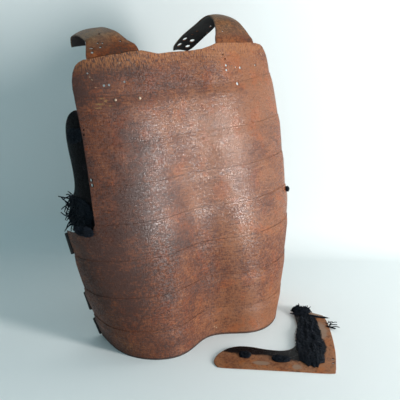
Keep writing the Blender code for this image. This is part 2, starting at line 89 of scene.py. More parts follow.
# Upper edge of the neck lame as distance from the spine and height: neck, strap lug, shoulder corner
NECK_EDGE = np.array((
    (0.000, 0.4055), (0.035, 0.4060), (0.050, 0.4095), (0.060, 0.4125), (0.080, 0.4115),
    (0.120, 0.4075), (0.140, 0.4042), (0.1465, 0.4010), (0.1510, 0.3965), (0.1550, 0.3880),
    (0.1575, 0.3790), (ARMHOLE_LEFT, 0.3670),
))
SHOULDER_CORNER_X = 0.140

# Shoulder straps above the neck lame: each row is x, y, z of the neck-side edge, then of the shoulder side
STRAP_RISE = (
    (0.0650, 0.1090, 0.4185, 0.1350, 0.1160, 0.4090),
    (0.0720, 0.1190, 0.4240, 0.1330, 0.1200, 0.4140),
    (0.0795, 0.1330, 0.4325, 0.1290, 0.1290, 0.4240),
)
STRAP_RIGHT = STRAP_RISE + (
    (0.0825, 0.1440, 0.4395, 0.1230, 0.1400, 0.4340),
    (0.0830, 0.1570, 0.4420, 0.1175, 0.1600, 0.4385),
    (0.0815, 0.1700, 0.4365, 0.1165, 0.1760, 0.4315),
    (0.0800, 0.1860, 0.4260, 0.1160, 0.1920, 0.4170),
    (0.0795, 0.2090, 0.4125, 0.1140, 0.2110, 0.4030),
    (0.0780, 0.2280, 0.3995, 0.1120, 0.2270, 0.3910),
    (0.0755, 0.2440, 0.3840, 0.1090, 0.2430, 0.3785),
    (0.0790, 0.2530, 0.3750, 0.1040, 0.2520, 0.3720),
)
STRAP_LEFT = STRAP_RISE + (
    (0.0835, 0.1470, 0.4350, 0.1270, 0.1420, 0.4260),
    (0.0850, 0.1650, 0.4350, 0.1240, 0.1600, 0.4265),
    (0.0860, 0.1850, 0.4315, 0.1210, 0.1800, 0.4245),
    (0.0880, 0.2050, 0.4265, 0.1190, 0.1950, 0.4210),
    (0.0900, 0.2170, 0.4190, 0.1180, 0.2035, 0.4170),
    (0.0905, 0.2190, 0.4100, 0.1180, 0.2035, 0.4100),
    (0.0900, 0.2180, 0.4020, 0.1180, 0.2010, 0.4045),
)
STRAP_TUCK = (0.024, 0.014, 0.004)
STRAP_FOOT_SPREAD = (0.003, 0.001)
STRAP_CAMBER = 0.0022
STRAP_SEAT_GAP = 0.0006

# Holes through the lames: distance from the spine, height, radius
LAME_HOLES = (
    (0.0686, 0.3962, 0.0013), (0.0710, 0.3900, 0.0014), (0.0705, 0.3815, 0.0017), (0.0701, 0.3751, 0.0016),
    (0.0869, 0.3774, 0.0011), (0.0956, 0.3756, 0.0018), (0.1287, 0.3750, 0.0014), (0.0851, 0.3553, 0.0022),
    (-0.1381, 0.3870, 0.0012), (-0.1207, 0.3716, 0.0015), (-0.1140, 0.3720, 0.0013),
    (-0.0928, 0.3747, 0.0012), (-0.1557, 0.3178, 0.0010), (-0.1566, 0.3115, 0.0010),
    (-0.1563, 0.2535, 0.0020), (-0.1560, 0.2463, 0.0020),
)
# Each hole's pin: its length, how much wider its inner end is so that light comes through aslant, and the
# share of that by which its outer end is narrower
PIN_DEPTH = 0.006
PIN_FLARE = 0.0012
PIN_NARROWING = 0.4
# Upright slits beside the left lug: distance from the spine, height, length
LACING_SLITS = (
    (-0.0702, 0.3924, 0.0090), (-0.0678, 0.3922, 0.0050), (-0.0621, 0.3912, 0.0070),
    (-0.0703, 0.3820, 0.0055), (-0.0661, 0.3777, 0.0050),
)
LACING_SLIT_WIDTH = 0.0006
# Rivet heads left showing: distance from the spine, height, radius
BARE_RIVETS = ((-0.1096, 0.3537, 0.0018), (-0.0760, 0.3535, 0.0020))
# Marks in the patina: distance from the spine, height, reach across, reach up
PALE_SCUFFS = (
    (-0.1368, 0.3832, 0.0016, 0.0020), (-0.1346, 0.3800, 0.0013, 0.0018), (-0.1322, 0.3701, 0.0030, 0.0009),
    (0.1465, 0.3892, 0.0010, 0.0034), (0.1490, 0.3870, 0.0009, 0.0030), (0.1300, 0.3495, 0.0009, 0.0030),
    (0.1335, 0.3480, 0.0010, 0.0030), (0.0053, 0.0145, 0.0024, 0.0014), (0.0085, 0.0120, 0.0012, 0.0022),
    (-0.0950, 0.3990, 0.0030, 0.0008),
)
GOLD_STREAKS = (
    (-0.1302, 0.3494, 0.0100, 0.0020), (-0.1225, 0.3530, 0.0040, 0.0030), (-0.1340, 0.3448, 0.0080, 0.0014),
    (-0.1180, 0.3470, 0.0050, 0.0012), (-0.1270, 0.3560, 0.0050, 0.0012),
)
# Each lame's wall is hammered thin towards its upper edge, where its rows of faces lie closer
FEATHER_REACH = 0.0160
FEATHER_EDGE = 0.30
ROW_CROWDING = 1.4
# Holes in the straps: share along, share across, radius along, radius across; the first four take the cord
STRAP_RIGHT_HOLES = (
    (0.858, 0.29, 0.0040, 0.0032), (0.861, 0.69, 0.0040, 0.0032),
    (0.912, 0.26, 0.0040, 0.0032), (0.921, 0.74, 0.0040, 0.0032),
    (0.690, 0.81, 0.0018, 0.0014), (0.757, 0.45, 0.0014, 0.0018), (0.801, 0.42, 0.0013, 0.0013),
    (0.744, 0.94, 0.0009, 0.0009), (0.322, 0.19, 0.0013, 0.0013), (0.435, 0.67, 0.0010, 0.0010),
)
STRAP_LEFT_HOLES = (
    (0.341, 0.87, 0.0009, 0.0026), (0.269, 0.87, 0.0014, 0.0014), (0.320, 0.67, 0.0013, 0.0013),
    (0.335, 0.17, 0.0016, 0.0010), (0.450, 0.52, 0.0014, 0.0014), (0.368, 0.69, 0.0009, 0.0009),
    (0.357, 0.58, 0.0009, 0.0009),
)

# Underarm plate, cut flat: u runs up its long rounded arm, v along its short square arm
PLATE_OUTLINE = (
    (0.006, 0.000), (0.060, 0.000), (0.110, 0.000), (0.156, 0.000), (0.164, 0.004), (0.168, 0.014),
    (0.164, 0.028), (0.157, 0.038), (0.147, 0.047), (0.132, 0.0525), (0.115, 0.0520), (0.098, 0.0485),
    (0.080, 0.0465), (0.068, 0.0475), (0.058, 0.0530), (0.051, 0.0640), (0.047, 0.0800), (0.046, 0.1000),
    (0.0475, 0.130), (0.051, 0.160), (0.052, 0.170), (0.045, 0.172), (0.010, 0.160), (0.004, 0.154),
    (-0.001, 0.130), (-0.004, 0.095), (-0.005, 0.055), (-0.003, 0.025), (-0.001, 0.006),
)
PLATE_CUT_SPACING = 0.004
PLATE_CUT_START = 0.37
# Holes through the plates, u, v and radius; those of the worn plate line up with the two beside the armhole
WORN_PLATE_HOLES = ((0.0752, 0.0072, 0.0021), (0.0680, 0.0064, 0.0021))
LOOSE_PLATE_HOLES = ((0.0006, 0.0356, 0.0018), (0.0008, 0.0254, 0.0018))
WORN_FOOT_HEIGHT = 0.180
WORN_START = (-0.1510, -0.0013)
WORN_BOW = 0.010
WORN_TURN_START = 0.045
WORN_TURN_RADIUS = 0.105
LOOSE_CORNER = Vector((0.0933, -0.1700, 0.0))
LOOSE_HEADING = math.radians(144.1)
LOOSE_DISH = 0.0025
LACE_GAP = 0.0003
LOWEST_STRAND = 0.0012

# Frayed ends: centre u and v, size both ways, how many, their lengths, how steeply they rise, seed
ARMHOLE_FRAYS = (
    ((0.026, 0.104), (0.046, 0.028), 40, (0.012, 0.026), 0.9, 21),
    ((0.030, 0.070), (0.040, 0.060), 34, (0.007, 0.013), 0.5, 22),
)
LOOSE_FRAYS = (
    ((-0.002, 0.124), (0.008, 0.018), 5, (0.010, 0.016), 0.35, 23),
    ((0.036, 0.165), (0.024, 0.016), 22, (0.005, 0.011), 0.6, 24),
)
# Threads against the set thread: over the mats, at the armhole, at the loose plate
MAT_THREAD = 0.65
ARMHOLE_THREAD = 1.9
LOOSE_THREAD = 1.4
THREAD_STEPS = 9
THREAD_STRIDE = 0.0016
STRAND_CURL = 0.34
STRAND_FALL = 0.4

THREAD_START = (0.95, 0.97)
THREAD_LIMIT = 1.08
THREAD_TURN = 0.7
THREAD_ARCH = 0.35
# Lumps of a tangle's top and of its outline: how fine, how strong
TANGLE_LUMPS = ((1.0, 0.55), (2.7, 0.30), (6.1, 0.18))
OUTLINE_LUMPS = ((1.0, 0.16), (3.3, 0.10))

# Unevenness of hand work in bands: waves per metre, share of the set depth
EDGE_WAVES = ((9.0, 1.0), (31.0, 0.35))
DENT_WAVES = ((13.0, 1.0), (47.0, 0.35))
STRAP_WAVES = ((22.0, 1.0),)
STRAP_DENT = 0.0005

# Mesh finish
MERGE_DISTANCE = 1e-6
ANGLE_LEVELS = 25
ANGLE_SHARES = 241
ANGLE_SAMPLES = 721
STRAP_SAMPLES = 200
HOLE_SEGMENTS = 16
SHARP_ANGLE = math.radians(40)
HINGE_SHARP_ANGLE = math.radians(35)
ROUNDING_ANGLE = math.radians(50)
HINGE_ROUNDING = 0.00025
SLIT_CUT_DEPTH = 0.016
STRAP_GRID = (24, 140)
RIVET_DOME = 0.45

# Noise of the finishes: patches per metre, detail, roughness
GRAINS = {
    "broad clouds": (17.0, 3.0, 0.50),
    "clouds": (62.0, 5.0, 0.62),
    "fine clouds": (210.0, 4.0, 0.65),
    "pits": (900.0, 2.0, 0.50),
    "hue": (41.0, 4.0, 0.60),
    "Strokes": (1.0, 5.0, 0.65),
    "Ticks": (1.0, 3.0, 0.60),
    "ragged edge": (230.0, 3.0, 0.60),
    "broken seam": (34.0, 3.0, 0.60),
    "scuffs": (560.0, 3.0, 0.70),
    "speckle": (380.0, 5.0, 0.75),
    "lacquer clouds": (48.0, 5.0, 0.60),
    "lacquer flakes": (330.0, 3.0, 0.60),
    "lacquer bloom": (70.0, 4.0, 0.60),
    "patches": (110.0, 5.0, 0.65),
    "plate gloss": (150.0, 3.0, 0.60),
    "iron": (240.0, 4.0, 0.60),
    "fibre": (1500.0, 3.0, 0.60),
    "clumps": (190.0, 4.0, 0.60),
}
STROKES_PER_METRE = (45.0, 520.0, 1.0)
TICKS_PER_METRE = (620.0, 150.0, 1.0)
# Where the patina turns warmer and greyer: the noise where it starts and is full, the colour multiplied in
HUE_SHIFTS = ((0.54, 0.62, (1.15, 0.95, 0.72)), (0.46, 0.38, (0.94, 0.99, 1.12)))
# Where the lames are lighter: axis, place where it starts, place where it is full, how much; the X row,
# darker towards the left, is painted shade on the side turned from the key light
LAME_TONES_AND_SIDE_SHADE = (("Z", 0.16, 0.36, 0.06), ("X", -0.17, 0.08, 0.19), ("Z", 0.320, 0.385, -0.055),
              ("Z", 0.070, 0.020, 0.060))
LAME_DARKNESS = 0.125
# A spot's outer edge and its full core, in shares of its reach
SPOT_EDGE = 1.28
SPOT_CORE = 0.92
RUSTY_EDGE = (0.290, 0.105, 0.030)
GOLD = (0.270, 0.165, 0.050)
SCUFF = (0.400, 0.310, 0.200)
STRAP_LIGHT = (0.260, 0.142, 0.074)
STRAP_MAIN = (0.140, 0.068, 0.036)
STRAP_DARK = (0.046, 0.025, 0.018)
STRAP_EDGE = (0.070, 0.045, 0.035)
PLATE_LIGHT = (0.300, 0.128, 0.060)
PLATE_MAIN = (0.185, 0.062, 0.027)
PLATE_DARK = (0.050, 0.022, 0.016)
PLATE_BLOOM = (0.022, 0.015, 0.018)
PLATE_BARE = (0.220, 0.135, 0.095)
PLATE_EDGE = (0.240, 0.085, 0.045)
HINGE_IRON = (0.012, 0.011, 0.012)
HINGE_RUST = (0.040, 0.018, 0.012)
RIVET_IRON = (0.420, 0.300, 0.220)
# How much dust and painted sheen lift each colour of the silk
DUST_AND_SHEEN_SHARES = (1.0, 1.1, 1.5)
# Patches of the loose plate: centre u and v, reach along u and v
LOOSE_BARE = ((0.014, 0.112, 0.011, 0.026), (0.016, 0.163, 0.020, 0.010), (0.102, 0.015, 0.012, 0.005),
              (0.052, 0.010, 0.007, 0.006))
LOOSE_RUST = ((0.110, 0.012, 0.075, 0.024), (0.004, 0.070, 0.022, 0.110), (0.020, 0.015, 0.040, 0.030),
              (0.150, 0.015, 0.030, 0.030))
LOOSE_STAINS = ((0.118, 0.045, 0.055, 0.012), (0.055, 0.038, 0.040, 0.014), (0.014, 0.068, 0.007, 0.022))

# Stage
FLOOR_REACH = 4.0
BACKDROP_REACH = 2.5
BACKDROP_LIFT = 0.0006
BACKDROP_RISE = 2.2
LIGHT_TARGET = (0.0, 0.05, 0.2)
LIGHT_COLOUR = (1.0, 0.985, 0.965)

# The camera at the photograph's angle
CAMERA_PLACE = (-0.5599, -0.8447, 0.6134)
CAMERA_AZIMUTH = math.radians(-32.36)
CAMERA_ELEVATION = math.radians(21.39)
CAMERA_ROLL = math.radians(1.115)
CAMERA_LENS = 70.70
CAMERA_SENSOR = 36.0


class ArmourSizes(bpy.types.PropertyGroup):
    """Sizes that a user would change."""

    wall: FloatProperty(name="Lame wall", description="Thickness of the lames", default=0.0016, min=0.0005,
                        unit="LENGTH")
    strap_wall: FloatProperty(name="Strap wall", description="Thickness of the shoulder straps",
                              default=0.0018, min=0.0005, unit="LENGTH")
    plate_wall: FloatProperty(name="Plate wall", description="Thickness of the underarm plates",
                              default=0.0016, min=0.0005, unit="LENGTH")
    seam_gap: FloatProperty(name="Seam gap", description="Gap between two lames where they lap",
                            default=0.0003, min=0.0, unit="LENGTH")
    edge_round: FloatProperty(name="Edge rounding", description="Width of the rounding on worn edges",
                              default=0.0004, min=0.0, unit="LENGTH")
    dent: FloatProperty(name="Hammering", description="Depth of the shallow hammer marks", default=0.0006,
                        min=0.0, unit="LENGTH")
    edge_wave: FloatProperty(name="Edge waviness", description="How far a hand-cut edge strays",
                             default=0.0006, min=0.0, unit="LENGTH")
    lame_columns: IntProperty(name="Lame columns", description="Faces across a lame", default=200, min=40)
    lame_rows: IntProperty(name="Lame rows", description="Faces up a lame", default=20, min=4)
    thread: FloatProperty(name="Thread", description="Radius of a frayed lace thread", default=0.00055,
                          min=0.0001, unit="LENGTH")


class ArmourColours(bpy.types.PropertyGroup):
    """Colours of the finishes."""

    russet: FloatVectorProperty(name="Russet", description="Main colour of the iron's patina",
                                subtype="COLOR", size=3, default=(0.118, 0.031, 0.011))
    tan: FloatVectorProperty(name="Tan", description="Patina worn light", subtype="COLOR", size=3,
                             default=(0.222, 0.076, 0.028))
    plum: FloatVectorProperty(name="Plum", description="Patina gone dark", subtype="COLOR", size=3,
                              default=(0.046, 0.014, 0.008))
    rust: FloatVectorProperty(name="Rust", description="Fresh orange rust", subtype="COLOR", size=3,
                              default=(0.225, 0.068, 0.020))
    lacquer: FloatVectorProperty(name="Lacquer", description="Black lacquer", subtype="COLOR", size=3,
                                 default=(0.0050, 0.0042, 0.0048))
    bare: FloatVectorProperty(name="Bare iron", description="Iron that has lost its lacquer",
                              subtype="COLOR", size=3, default=(0.275, 0.168, 0.112))
    navy: FloatVectorProperty(name="Navy", description="Silk lacing", subtype="COLOR", size=3,
                              default=(0.0034, 0.0056, 0.0098))
    verdigris: FloatVectorProperty(name="Verdigris", description="Green on old fittings", subtype="COLOR",
                                   size=3, default=(0.260, 0.300, 0.160))
    floor: FloatVectorProperty(name="Floor", description="Pale studio floor", subtype="COLOR", size=3,
                               default=(0.800, 0.815, 0.810))


# Shape of the body

def section(column, height):
    """The section table's column at any heights, as a smooth cubic through its rows."""
    height = np.asarray(height, float)
    heights, values = SECTIONS[:, 0], SECTIONS[:, SECTION_COLUMNS.index(column)]
    slopes = np.gradient(values, heights)
    k = np.clip(np.searchsorted(heights, height) - 1, 0, len(heights) - 2)
    span = heights[k + 1] - heights[k]
    t = np.clip((height - heights[k]) / span, 0.0, 1.0)
    beyond = height - (heights[k] + t * span)
    start = (2 * t**3 - 3 * t**2 + 1) * values[k] + (t**3 - 2 * t**2 + t) * span * slopes[k]
    end = (3 * t**2 - 2 * t**3) * values[k + 1] + (t**3 - t**2) * span * slopes[k + 1]
    return start + end + beyond * slopes[np.where(t > 0, k + 1, k)]


def plan_xy(angle, height):
    """Plan of the body at angles from the spine and at heights."""
    x = section("half_width", height) * np.sin(angle)
    turn = np.cos(angle)
    y = section("side_y", height) - section("depth", height) * np.sign(turn) * np.abs(turn)**OVAL_POWER
    return x, y + section("groove", height) * np.exp(-(x / GROOVE_WIDTH)**2)


def body_points(angle, height, outward=0.0):
    """Points of the body's surface, moved outward level with the floor by a true wall distance."""
    small = 1e-3
    x, y = plan_xy(angle, height)
    x_on, y_on = plan_xy(angle + small, height)
    x_up, y_up = plan_xy(angle, height + small)
    rise = np.full_like(x, small)
    along = np.stack((x_on - x, y_on - y, np.zeros_like(x)), axis=-1)
    normal = np.cross(along, np.stack((x_up - x, y_up - y, rise), axis=-1))
    normal /= np.linalg.norm(normal, axis=-1, keepdims=True)
    level = normal * (1.0, 1.0, 0.0)
    reach = outward / np.sum(level**2, axis=-1)
    return np.stack((x, y, height + 0 * x), axis=-1) + level * reach[..., None]


def body_point(angle, height, outward=0.0):
    return Vector(body_points(np.array([angle]), np.array([height]), np.array([outward]))[0])


def angle_at_x(x, height):
    return np.arcsin(np.clip(x / section("half_width", height), -1.0, 1.0))


def front_angle(height):
    """Angle at which the side ends, at the front edge that carries the hinges."""
    reach = section("side_y", height) - section("front_edge_y", height)
    turn = np.sign(reach) * (np.abs(reach) / section("depth", height))**(1 / OVAL_POWER)
    return np.arccos(turn)


def end_angles(ends, height):
    if ends == "side":
        return -front_angle(height), front_angle(height)
    return angle_at_x(-ARMHOLE_LEFT, height), angle_at_x(ARMHOLE_RIGHT, height)


def even_angles(ends, across, height):
    """Angles at shares of a lame's width, measured along the plan curve at each height; and its length."""
    levels = np.linspace(height.min() - 1e-4, height.max() + 1e-4, ANGLE_LEVELS)
    shares = np.linspace(0.0, 1.0, ANGLE_SHARES)
    table = []
    for level in levels:
        dense = np.linspace(*end_angles(ends, level), ANGLE_SAMPLES)
        x, y = plan_xy(dense, np.full_like(dense, level))
        run = np.concatenate(([0.0], np.cumsum(np.hypot(np.diff(x), np.diff(y)))))
        table.append(np.interp(shares * run[-1], run, dense))
    table = np.array(table)
    row = (height - levels[0]) / (levels[-1] - levels[0]) * (len(levels) - 1)
    column = across * (len(shares) - 1)
    i = np.clip(row.astype(int), 0, len(levels) - 2)
    j = np.clip(column.astype(int), 0, len(shares) - 2)
    r, c = row - i, column - j
    low = table[i, j] * (1 - c) + table[i, j + 1] * c
    high = table[i + 1, j] * (1 - c) + table[i + 1, j + 1] * c
    return low * (1 - r) + high * r, run[-1]


def neck_edge_height(x):
    """Height of the neck lame's upper edge; the shoulder corner keeps its shape on the wider side."""
    armhole = np.where(x < 0, ARMHOLE_LEFT, ARMHOLE_RIGHT)
    beyond = np.abs(x) - SHOULDER_CORNER_X
    stretch = (ARMHOLE_LEFT - SHOULDER_CORNER_X) / (armhole - SHOULDER_CORNER_X)
    beyond = np.where(beyond > 0, beyond * stretch, beyond)
    return np.interp(SHOULDER_CORNER_X + beyond, NECK_EDGE[:, 0], NECK_EDGE[:, 1])


def upper_edge(node, top, angle):
    """Height of a lame's upper edge at angles of the plan."""
    if node == "lame_1_neck":
        return neck_edge_height(plan_xy(angle, np.full_like(angle, top))[0])
    if node != "lame_5_side":
        return np.full_like(angle, top)
    start = angle_at_x(np.where(angle < 0, ARMHOLE_LEFT, ARMHOLE_RIGHT), ARMHOLE_FLOOR)
    a, b = plan_xy(start, ARMHOLE_FLOOR), plan_xy(np.abs(angle), ARMHOLE_FLOOR)
    run = np.minimum(np.hypot(b[0] - a[0], b[1] - a[1]), ARMHOLE_FILLET)
    drop = np.sqrt(ARMHOLE_FILLET**2 - (ARMHOLE_FILLET - run)**2) * (top - ARMHOLE_FLOOR) / ARMHOLE_FILLET
    return np.where(np.abs(angle) <= start, top, top - drop)


def waves(points, bands, depth):
    """Smooth noise in bands, read at each point's place."""
    return sum(np.array([share * depth * noise.noise(Vector(point) * frequency) for point in points])
               for frequency, share in bands)


# Mesh tools

def mesh_object(name, data, *materials):
    thing = bpy.data.objects.new(name, data)
    for material in materials:
        data.materials.append(material)
    bpy.context.scene.collection.objects.link(thing)
    return thing


def finish_bmesh(name, bm, outward=True):
    """A mesh from a bmesh, its faces turned outward where it is closed."""
    if outward:
        bmesh.ops.recalc_face_normals(bm, faces=bm.faces)
        if all(edge.is_manifold for edge in bm.edges) and bm.calc_volume(signed=True) < 0:
            bmesh.ops.reverse_faces(bm, faces=bm.faces)
    mesh = bpy.data.meshes.new(name)
    bm.to_mesh(mesh)
    bm.free()
    mesh.shade_smooth()
    return mesh


def bend_flat(mesh, place):
    """Bends a flat mesh: place turns its flat x and y into points, a UV in metres and named measures."""
    flat = np.array([vert.co for vert in mesh.vertices])
    points, uv, measures = place(flat[:, 0], flat[:, 1])
    mesh.vertices.foreach_set("co", points.astype(np.float32).ravel())
    corners = np.zeros(len(mesh.loops), np.int32)
    mesh.loops.foreach_get("vertex_index", corners)
    layer = mesh.uv_layers.new(name="UVMap")
    layer.data.foreach_set("uv", uv[corners].astype(np.float32).ravel())
    for label, values in measures.items():
        attribute = mesh.attributes.new(label, "FLOAT", "POINT")
        attribute.data.foreach_set("value", values.astype(np.float32))
    mesh.update()


def bent_grid(name, across, up, place, *materials):
    """A flat grid of faces, bent by place from shares across and up."""
    bm = bmesh.new()
    bmesh.ops.create_grid(bm, x_segments=across, y_segments=up, size=0.5)
    bmesh.ops.translate(bm, verts=bm.verts, vec=(0.5, 0.5, 0.0))
    mesh = finish_bmesh(name, bm, outward=False)
    bend_flat(mesh, place)
    return mesh_object(name, mesh, *materials)


def made_mesh(thing):
    """A new mesh of what a thing's modifiers or curve settings make."""
    graph = bpy.context.evaluated_depsgraph_get()
    return bpy.data.meshes.new_from_object(thing.evaluated_get(graph), depsgraph=graph)


def apply_modifiers(thing):
    """Keeps what the modifiers make as the thing's own mesh."""
    made = made_mesh(thing)
    thing.modifiers.clear()
    thing.data = made


def weigh(thing, label):
    """Turns a measure stored on the points into a vertex group of the same name."""
    group = thing.vertex_groups.new(name=label)
    for index, item in enumerate(thing.data.attributes[label].data):
        group.add([index], item.value, "REPLACE")


def add_wall(thing, thickness, share):
    """Gives a sheet its wall, with the inside in its second material; share names the group that thins it."""
    shell = thing.modifiers.new("wall", "SOLIDIFY")
    shell.vertex_group = share
    shell.thickness = thickness
    shell.offset = 0.0
    shell.use_even_offset = True
    shell.material_offset = 1


def round_edges(thing, width):
    rounding = thing.modifiers.new("rounding", "BEVEL")
    rounding.width = width
    rounding.segments = 2
    rounding.limit_method = "ANGLE"
    rounding.angle_limit = ROUNDING_ANGLE


def cut_holes(thing, cutter):
    cut = thing.modifiers.new("holes", "BOOLEAN")
    cut.operation = "DIFFERENCE"
    cut.solver = "EXACT"
    cut.object = cutter


def finish_sheet(sheet, wall, cutter, rounding, share=""):
    """Gives a sheet its wall, its holes and its rounded edges, and keeps it above the floor."""
    add_wall(sheet, wall, share)
    if cutter:
        cut_holes(sheet, cutter)
    round_edges(sheet, rounding)
    apply_modifiers(sheet)
    if cutter:
        bpy.data.objects.remove(cutter, do_unlink=True)
    for vert in sheet.data.vertices:
        vert.co.z = max(vert.co.z, 0.0)
    sheet.data.set_sharp_from_angle(angle=SHARP_ANGLE)


def pins(name, places):
    """Pins through a wall, each a matrix and its two radii, joined into one cutter."""
    bm = bmesh.new()
    for matrix, across, along in places:
        shape = matrix @ Matrix.Diagonal((across, along, 1.0, 1.0))
        flare = PIN_FLARE / max(across, along)
        bmesh.ops.create_cone(bm, segments=HOLE_SEGMENTS, depth=PIN_DEPTH, cap_ends=True, matrix=shape,
                              radius1=1.0 + flare, radius2=1.0 - PIN_NARROWING * flare)
    return mesh_object(name, finish_bmesh(name, bm))


def facing(centre, normal, upward=Vector((0, 0, 1))):
    """A matrix at the centre whose Z is the normal and whose Y leans towards upward."""
    normal = normal.normalized()
    side = upward.cross(normal).normalized()
    return Matrix.Translation(centre) @ Matrix((side, normal.cross(side), normal)).transposed().to_4x4()


def body_facing(x, height, outward=0.0):
    """A matrix on the body's surface, its Z pointing straight out."""
    angle = float(angle_at_x(x, height))
    here = body_point(angle, height, outward)
    along = body_point(angle + 0.01, height) - body_point(angle, height)
    up = body_point(angle, height + 0.001) - body_point(angle, height)
    return facing(here, along.cross(up))


def keep(thing, node_names):
    """Hands a finished piece over: it rides on the body and stands for its CAD nodes."""
    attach(thing, "root")
    if node_names:
        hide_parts(*node_names)


# Materials

class Wiring:
    """Adds nodes to one tree and links them; an input may be a socket, a number or a colour."""

    def __init__(self, tree):
        self.tree = tree

    def feed(self, sockets, inputs):
        """Links or sets sockets by their names; a colour gets its fourth number here."""
        for key, value in inputs.items():
            socket = sockets[key]
            if isinstance(value, bpy.types.NodeSocket):
                self.tree.links.new(value, socket)
            else:
                socket.default_value = (*value[:3], 1.0) if socket.type == "RGBA" else value

    def node(self, kind, inputs, **settings):
        node = self.tree.nodes.new(kind)
        for key, value in settings.items():
            setattr(node, key, value)
        self.feed(node.inputs, inputs)
        return node

    def math(self, operation, a, b=0.0, clamp=False):
        return self.node("ShaderNodeMath", {0: a, 1: b}, operation=operation, use_clamp=clamp).outputs[0]

    def add(self, a, b, clamp=False):
        return self.math("ADD", a, b, clamp)

    def times(self, a, b, clamp=False):
        return self.math("MULTIPLY", a, b, clamp)

    def plus(self, total, value, share, clamp=False):
        """A total with a share of a value added."""
        return self.add(total, self.times(value, share), clamp)

    def off_middle(self, value, middle, share):
        """A share of how far a value lies above its middle."""
        return self.times(self.math("SUBTRACT", value, middle), share)

    def mask(self, value, low, high):
        """0 below low, 1 above high, smooth between; low may be the greater one."""
        return self.node("ShaderNodeMapRange", {"Value": value, "From Min": low, "From Max": high},
                         interpolation_type="SMOOTHSTEP").outputs["Result"]

    def noise(self, vector, grain):
        """Noise of one of the named grains."""
        inputs = dict(zip(("Scale", "Detail", "Roughness"), GRAINS[grain]), Vector=vector)
        return self.node("ShaderNodeTexNoise", inputs).outputs["Fac"]

    def stretched(self, vector, scale):
        return self.node("ShaderNodeMapping", {"Vector": vector, "Scale": scale}).outputs["Vector"]

    def vector(self, operation, a, b=(0.0, 0.0, 0.0)):
        return self.node("ShaderNodeVectorMath", {0: a, 1: b}, operation=operation).outputs

    def mix(self, factor, a, b, blend="MIX"):
        return self.node("ShaderNodeMix", {0: factor, 6: a, 7: b}, data_type="RGBA",
                         blend_type=blend).outputs[2]

    def lay(self, colour, tint, mask, strength):
        """Lays a tint over a colour where the mask says."""
        return self.mix(self.times(mask, strength), colour, tint)

    def coordinates(self, which):
        return self.node("ShaderNodeTexCoord", {}).outputs[which]

    def group(self, tree, inputs):
        return self.node("ShaderNodeGroup", inputs, node_tree=tree).outputs

    def edge_line(self, place, label, width):
        """The line along the edge that a measure of the mesh tells the distance to; callers lay wear, rust,
        painted shade and painted highlight with it.
        """
        distance = self.node("ShaderNodeAttribute", {}, attribute_name=label).outputs["Fac"]
        return self.group(edge_group(), {"Vector": place, "Distance": distance, "Width": width})["Mask"]

    def bump(self, shader, height, strength, distance):
        inputs = {"Height": height, "Strength": strength, "Distance": distance}
        normal = self.node("ShaderNodeBump", inputs).outputs["Normal"]
        self.feed(shader.inputs, {"Normal": normal})


def new_group(name, inputs, outputs):
    """An empty shader node group, its wiring, its input sockets and its output node's sockets."""
    tree = bpy.data.node_groups.new(name, "ShaderNodeTree")
    for in_out, labels in (("INPUT", inputs), ("OUTPUT", outputs)):
        for label, kind in labels.items():
            tree.interface.new_socket(label, in_out=in_out, socket_type="NodeSocket" + kind)
    entry = tree.nodes.new("NodeGroupInput")
    leave = tree.nodes.new("NodeGroupOutput")
    return tree, Wiring(tree), entry.outputs, leave.inputs


def patina_group():
    """Mottled iron patina: three tones in large and small clouds, rust in the hollows, and fine pits."""
    name = "patina"
    if name in bpy.data.node_groups:
        return bpy.data.node_groups[name]
    tree, wire, inputs, outputs = new_group(
        name,
        {"Vector": "Vector", "Light": "Color", "Main": "Color", "Dark": "Color", "Rust": "Color",
         "Rust Amount": "Float", "Tone": "Float"},
        {"Color": "Color", "Height": "Float", "Roughness": "Float"})
    place = inputs["Vector"]
    cloud = wire.noise(place, "clouds")
    fine = wire.noise(wire.stretched(place, (1.0, 1.0, 2.0)), "fine clouds")
    hue = wire.noise(wire.stretched(place, (1.0, 1.0, 0.8)), "hue")
    pits = wire.noise(place, "pits")
    tone = wire.times(wire.noise(place, "broad clouds"), 0.40)
    tone = wire.plus(tone, cloud, 0.30)
    tone = wire.plus(tone, fine, 0.36)
    tone = wire.add(wire.math("SUBTRACT", tone, 0.03), inputs["Tone"])
    colour = wire.mix(wire.mask(tone, 0.33, 0.50), inputs["Dark"], inputs["Main"])
    colour = wire.mix(wire.mask(tone, 0.47, 0.64), colour, inputs["Light"])
    for start, full, shift in HUE_SHIFTS:
        shifted = wire.mix(1.0, colour, shift, "MULTIPLY")
        colour = wire.mix(wire.mask(hue, start, full), colour, shifted)
    rust_place = wire.times(wire.mask(fine, 0.50, 0.66), wire.mask(cloud, 0.44, 0.62))
    rust_place = wire.times(rust_place, inputs["Rust Amount"], clamp=True)
    colour = wire.mix(rust_place, colour, inputs["Rust"])
    colour = wire.lay(colour, inputs["Dark"], wire.mask(fine, 0.52, 0.34), 0.38)
    speck = wire.times(wire.mask(pits, 0.58, 0.68), 0.60)
    colour = wire.mix(speck, colour, inputs["Dark"])
    height = wire.plus(wire.times(fine, 0.6), pits, 0.4)
    height = wire.plus(height, speck, -0.8)
    rough = wire.plus(wire.times(fine, 0.30), rust_place, 0.30)
    wire.feed(outputs, {"Color": colour, "Height": height, "Roughness": rough})
    return tree


def brush_group():
    """Fine strokes that run level round the body, and short upright ticks, read from a UV in metres."""
    name = "brush_strokes"
    if name in bpy.data.node_groups:
        return bpy.data.node_groups[name]
    tree, wire, inputs, outputs = new_group(
        name, {"Vector": "Vector"}, {"Strokes": "Float", "Ticks": "Float"})
    for label, scale in (("Strokes", STROKES_PER_METRE), ("Ticks", TICKS_PER_METRE)):
        wire.feed(outputs, {label: wire.noise(wire.stretched(inputs["Vector"], scale), label)})
    return tree


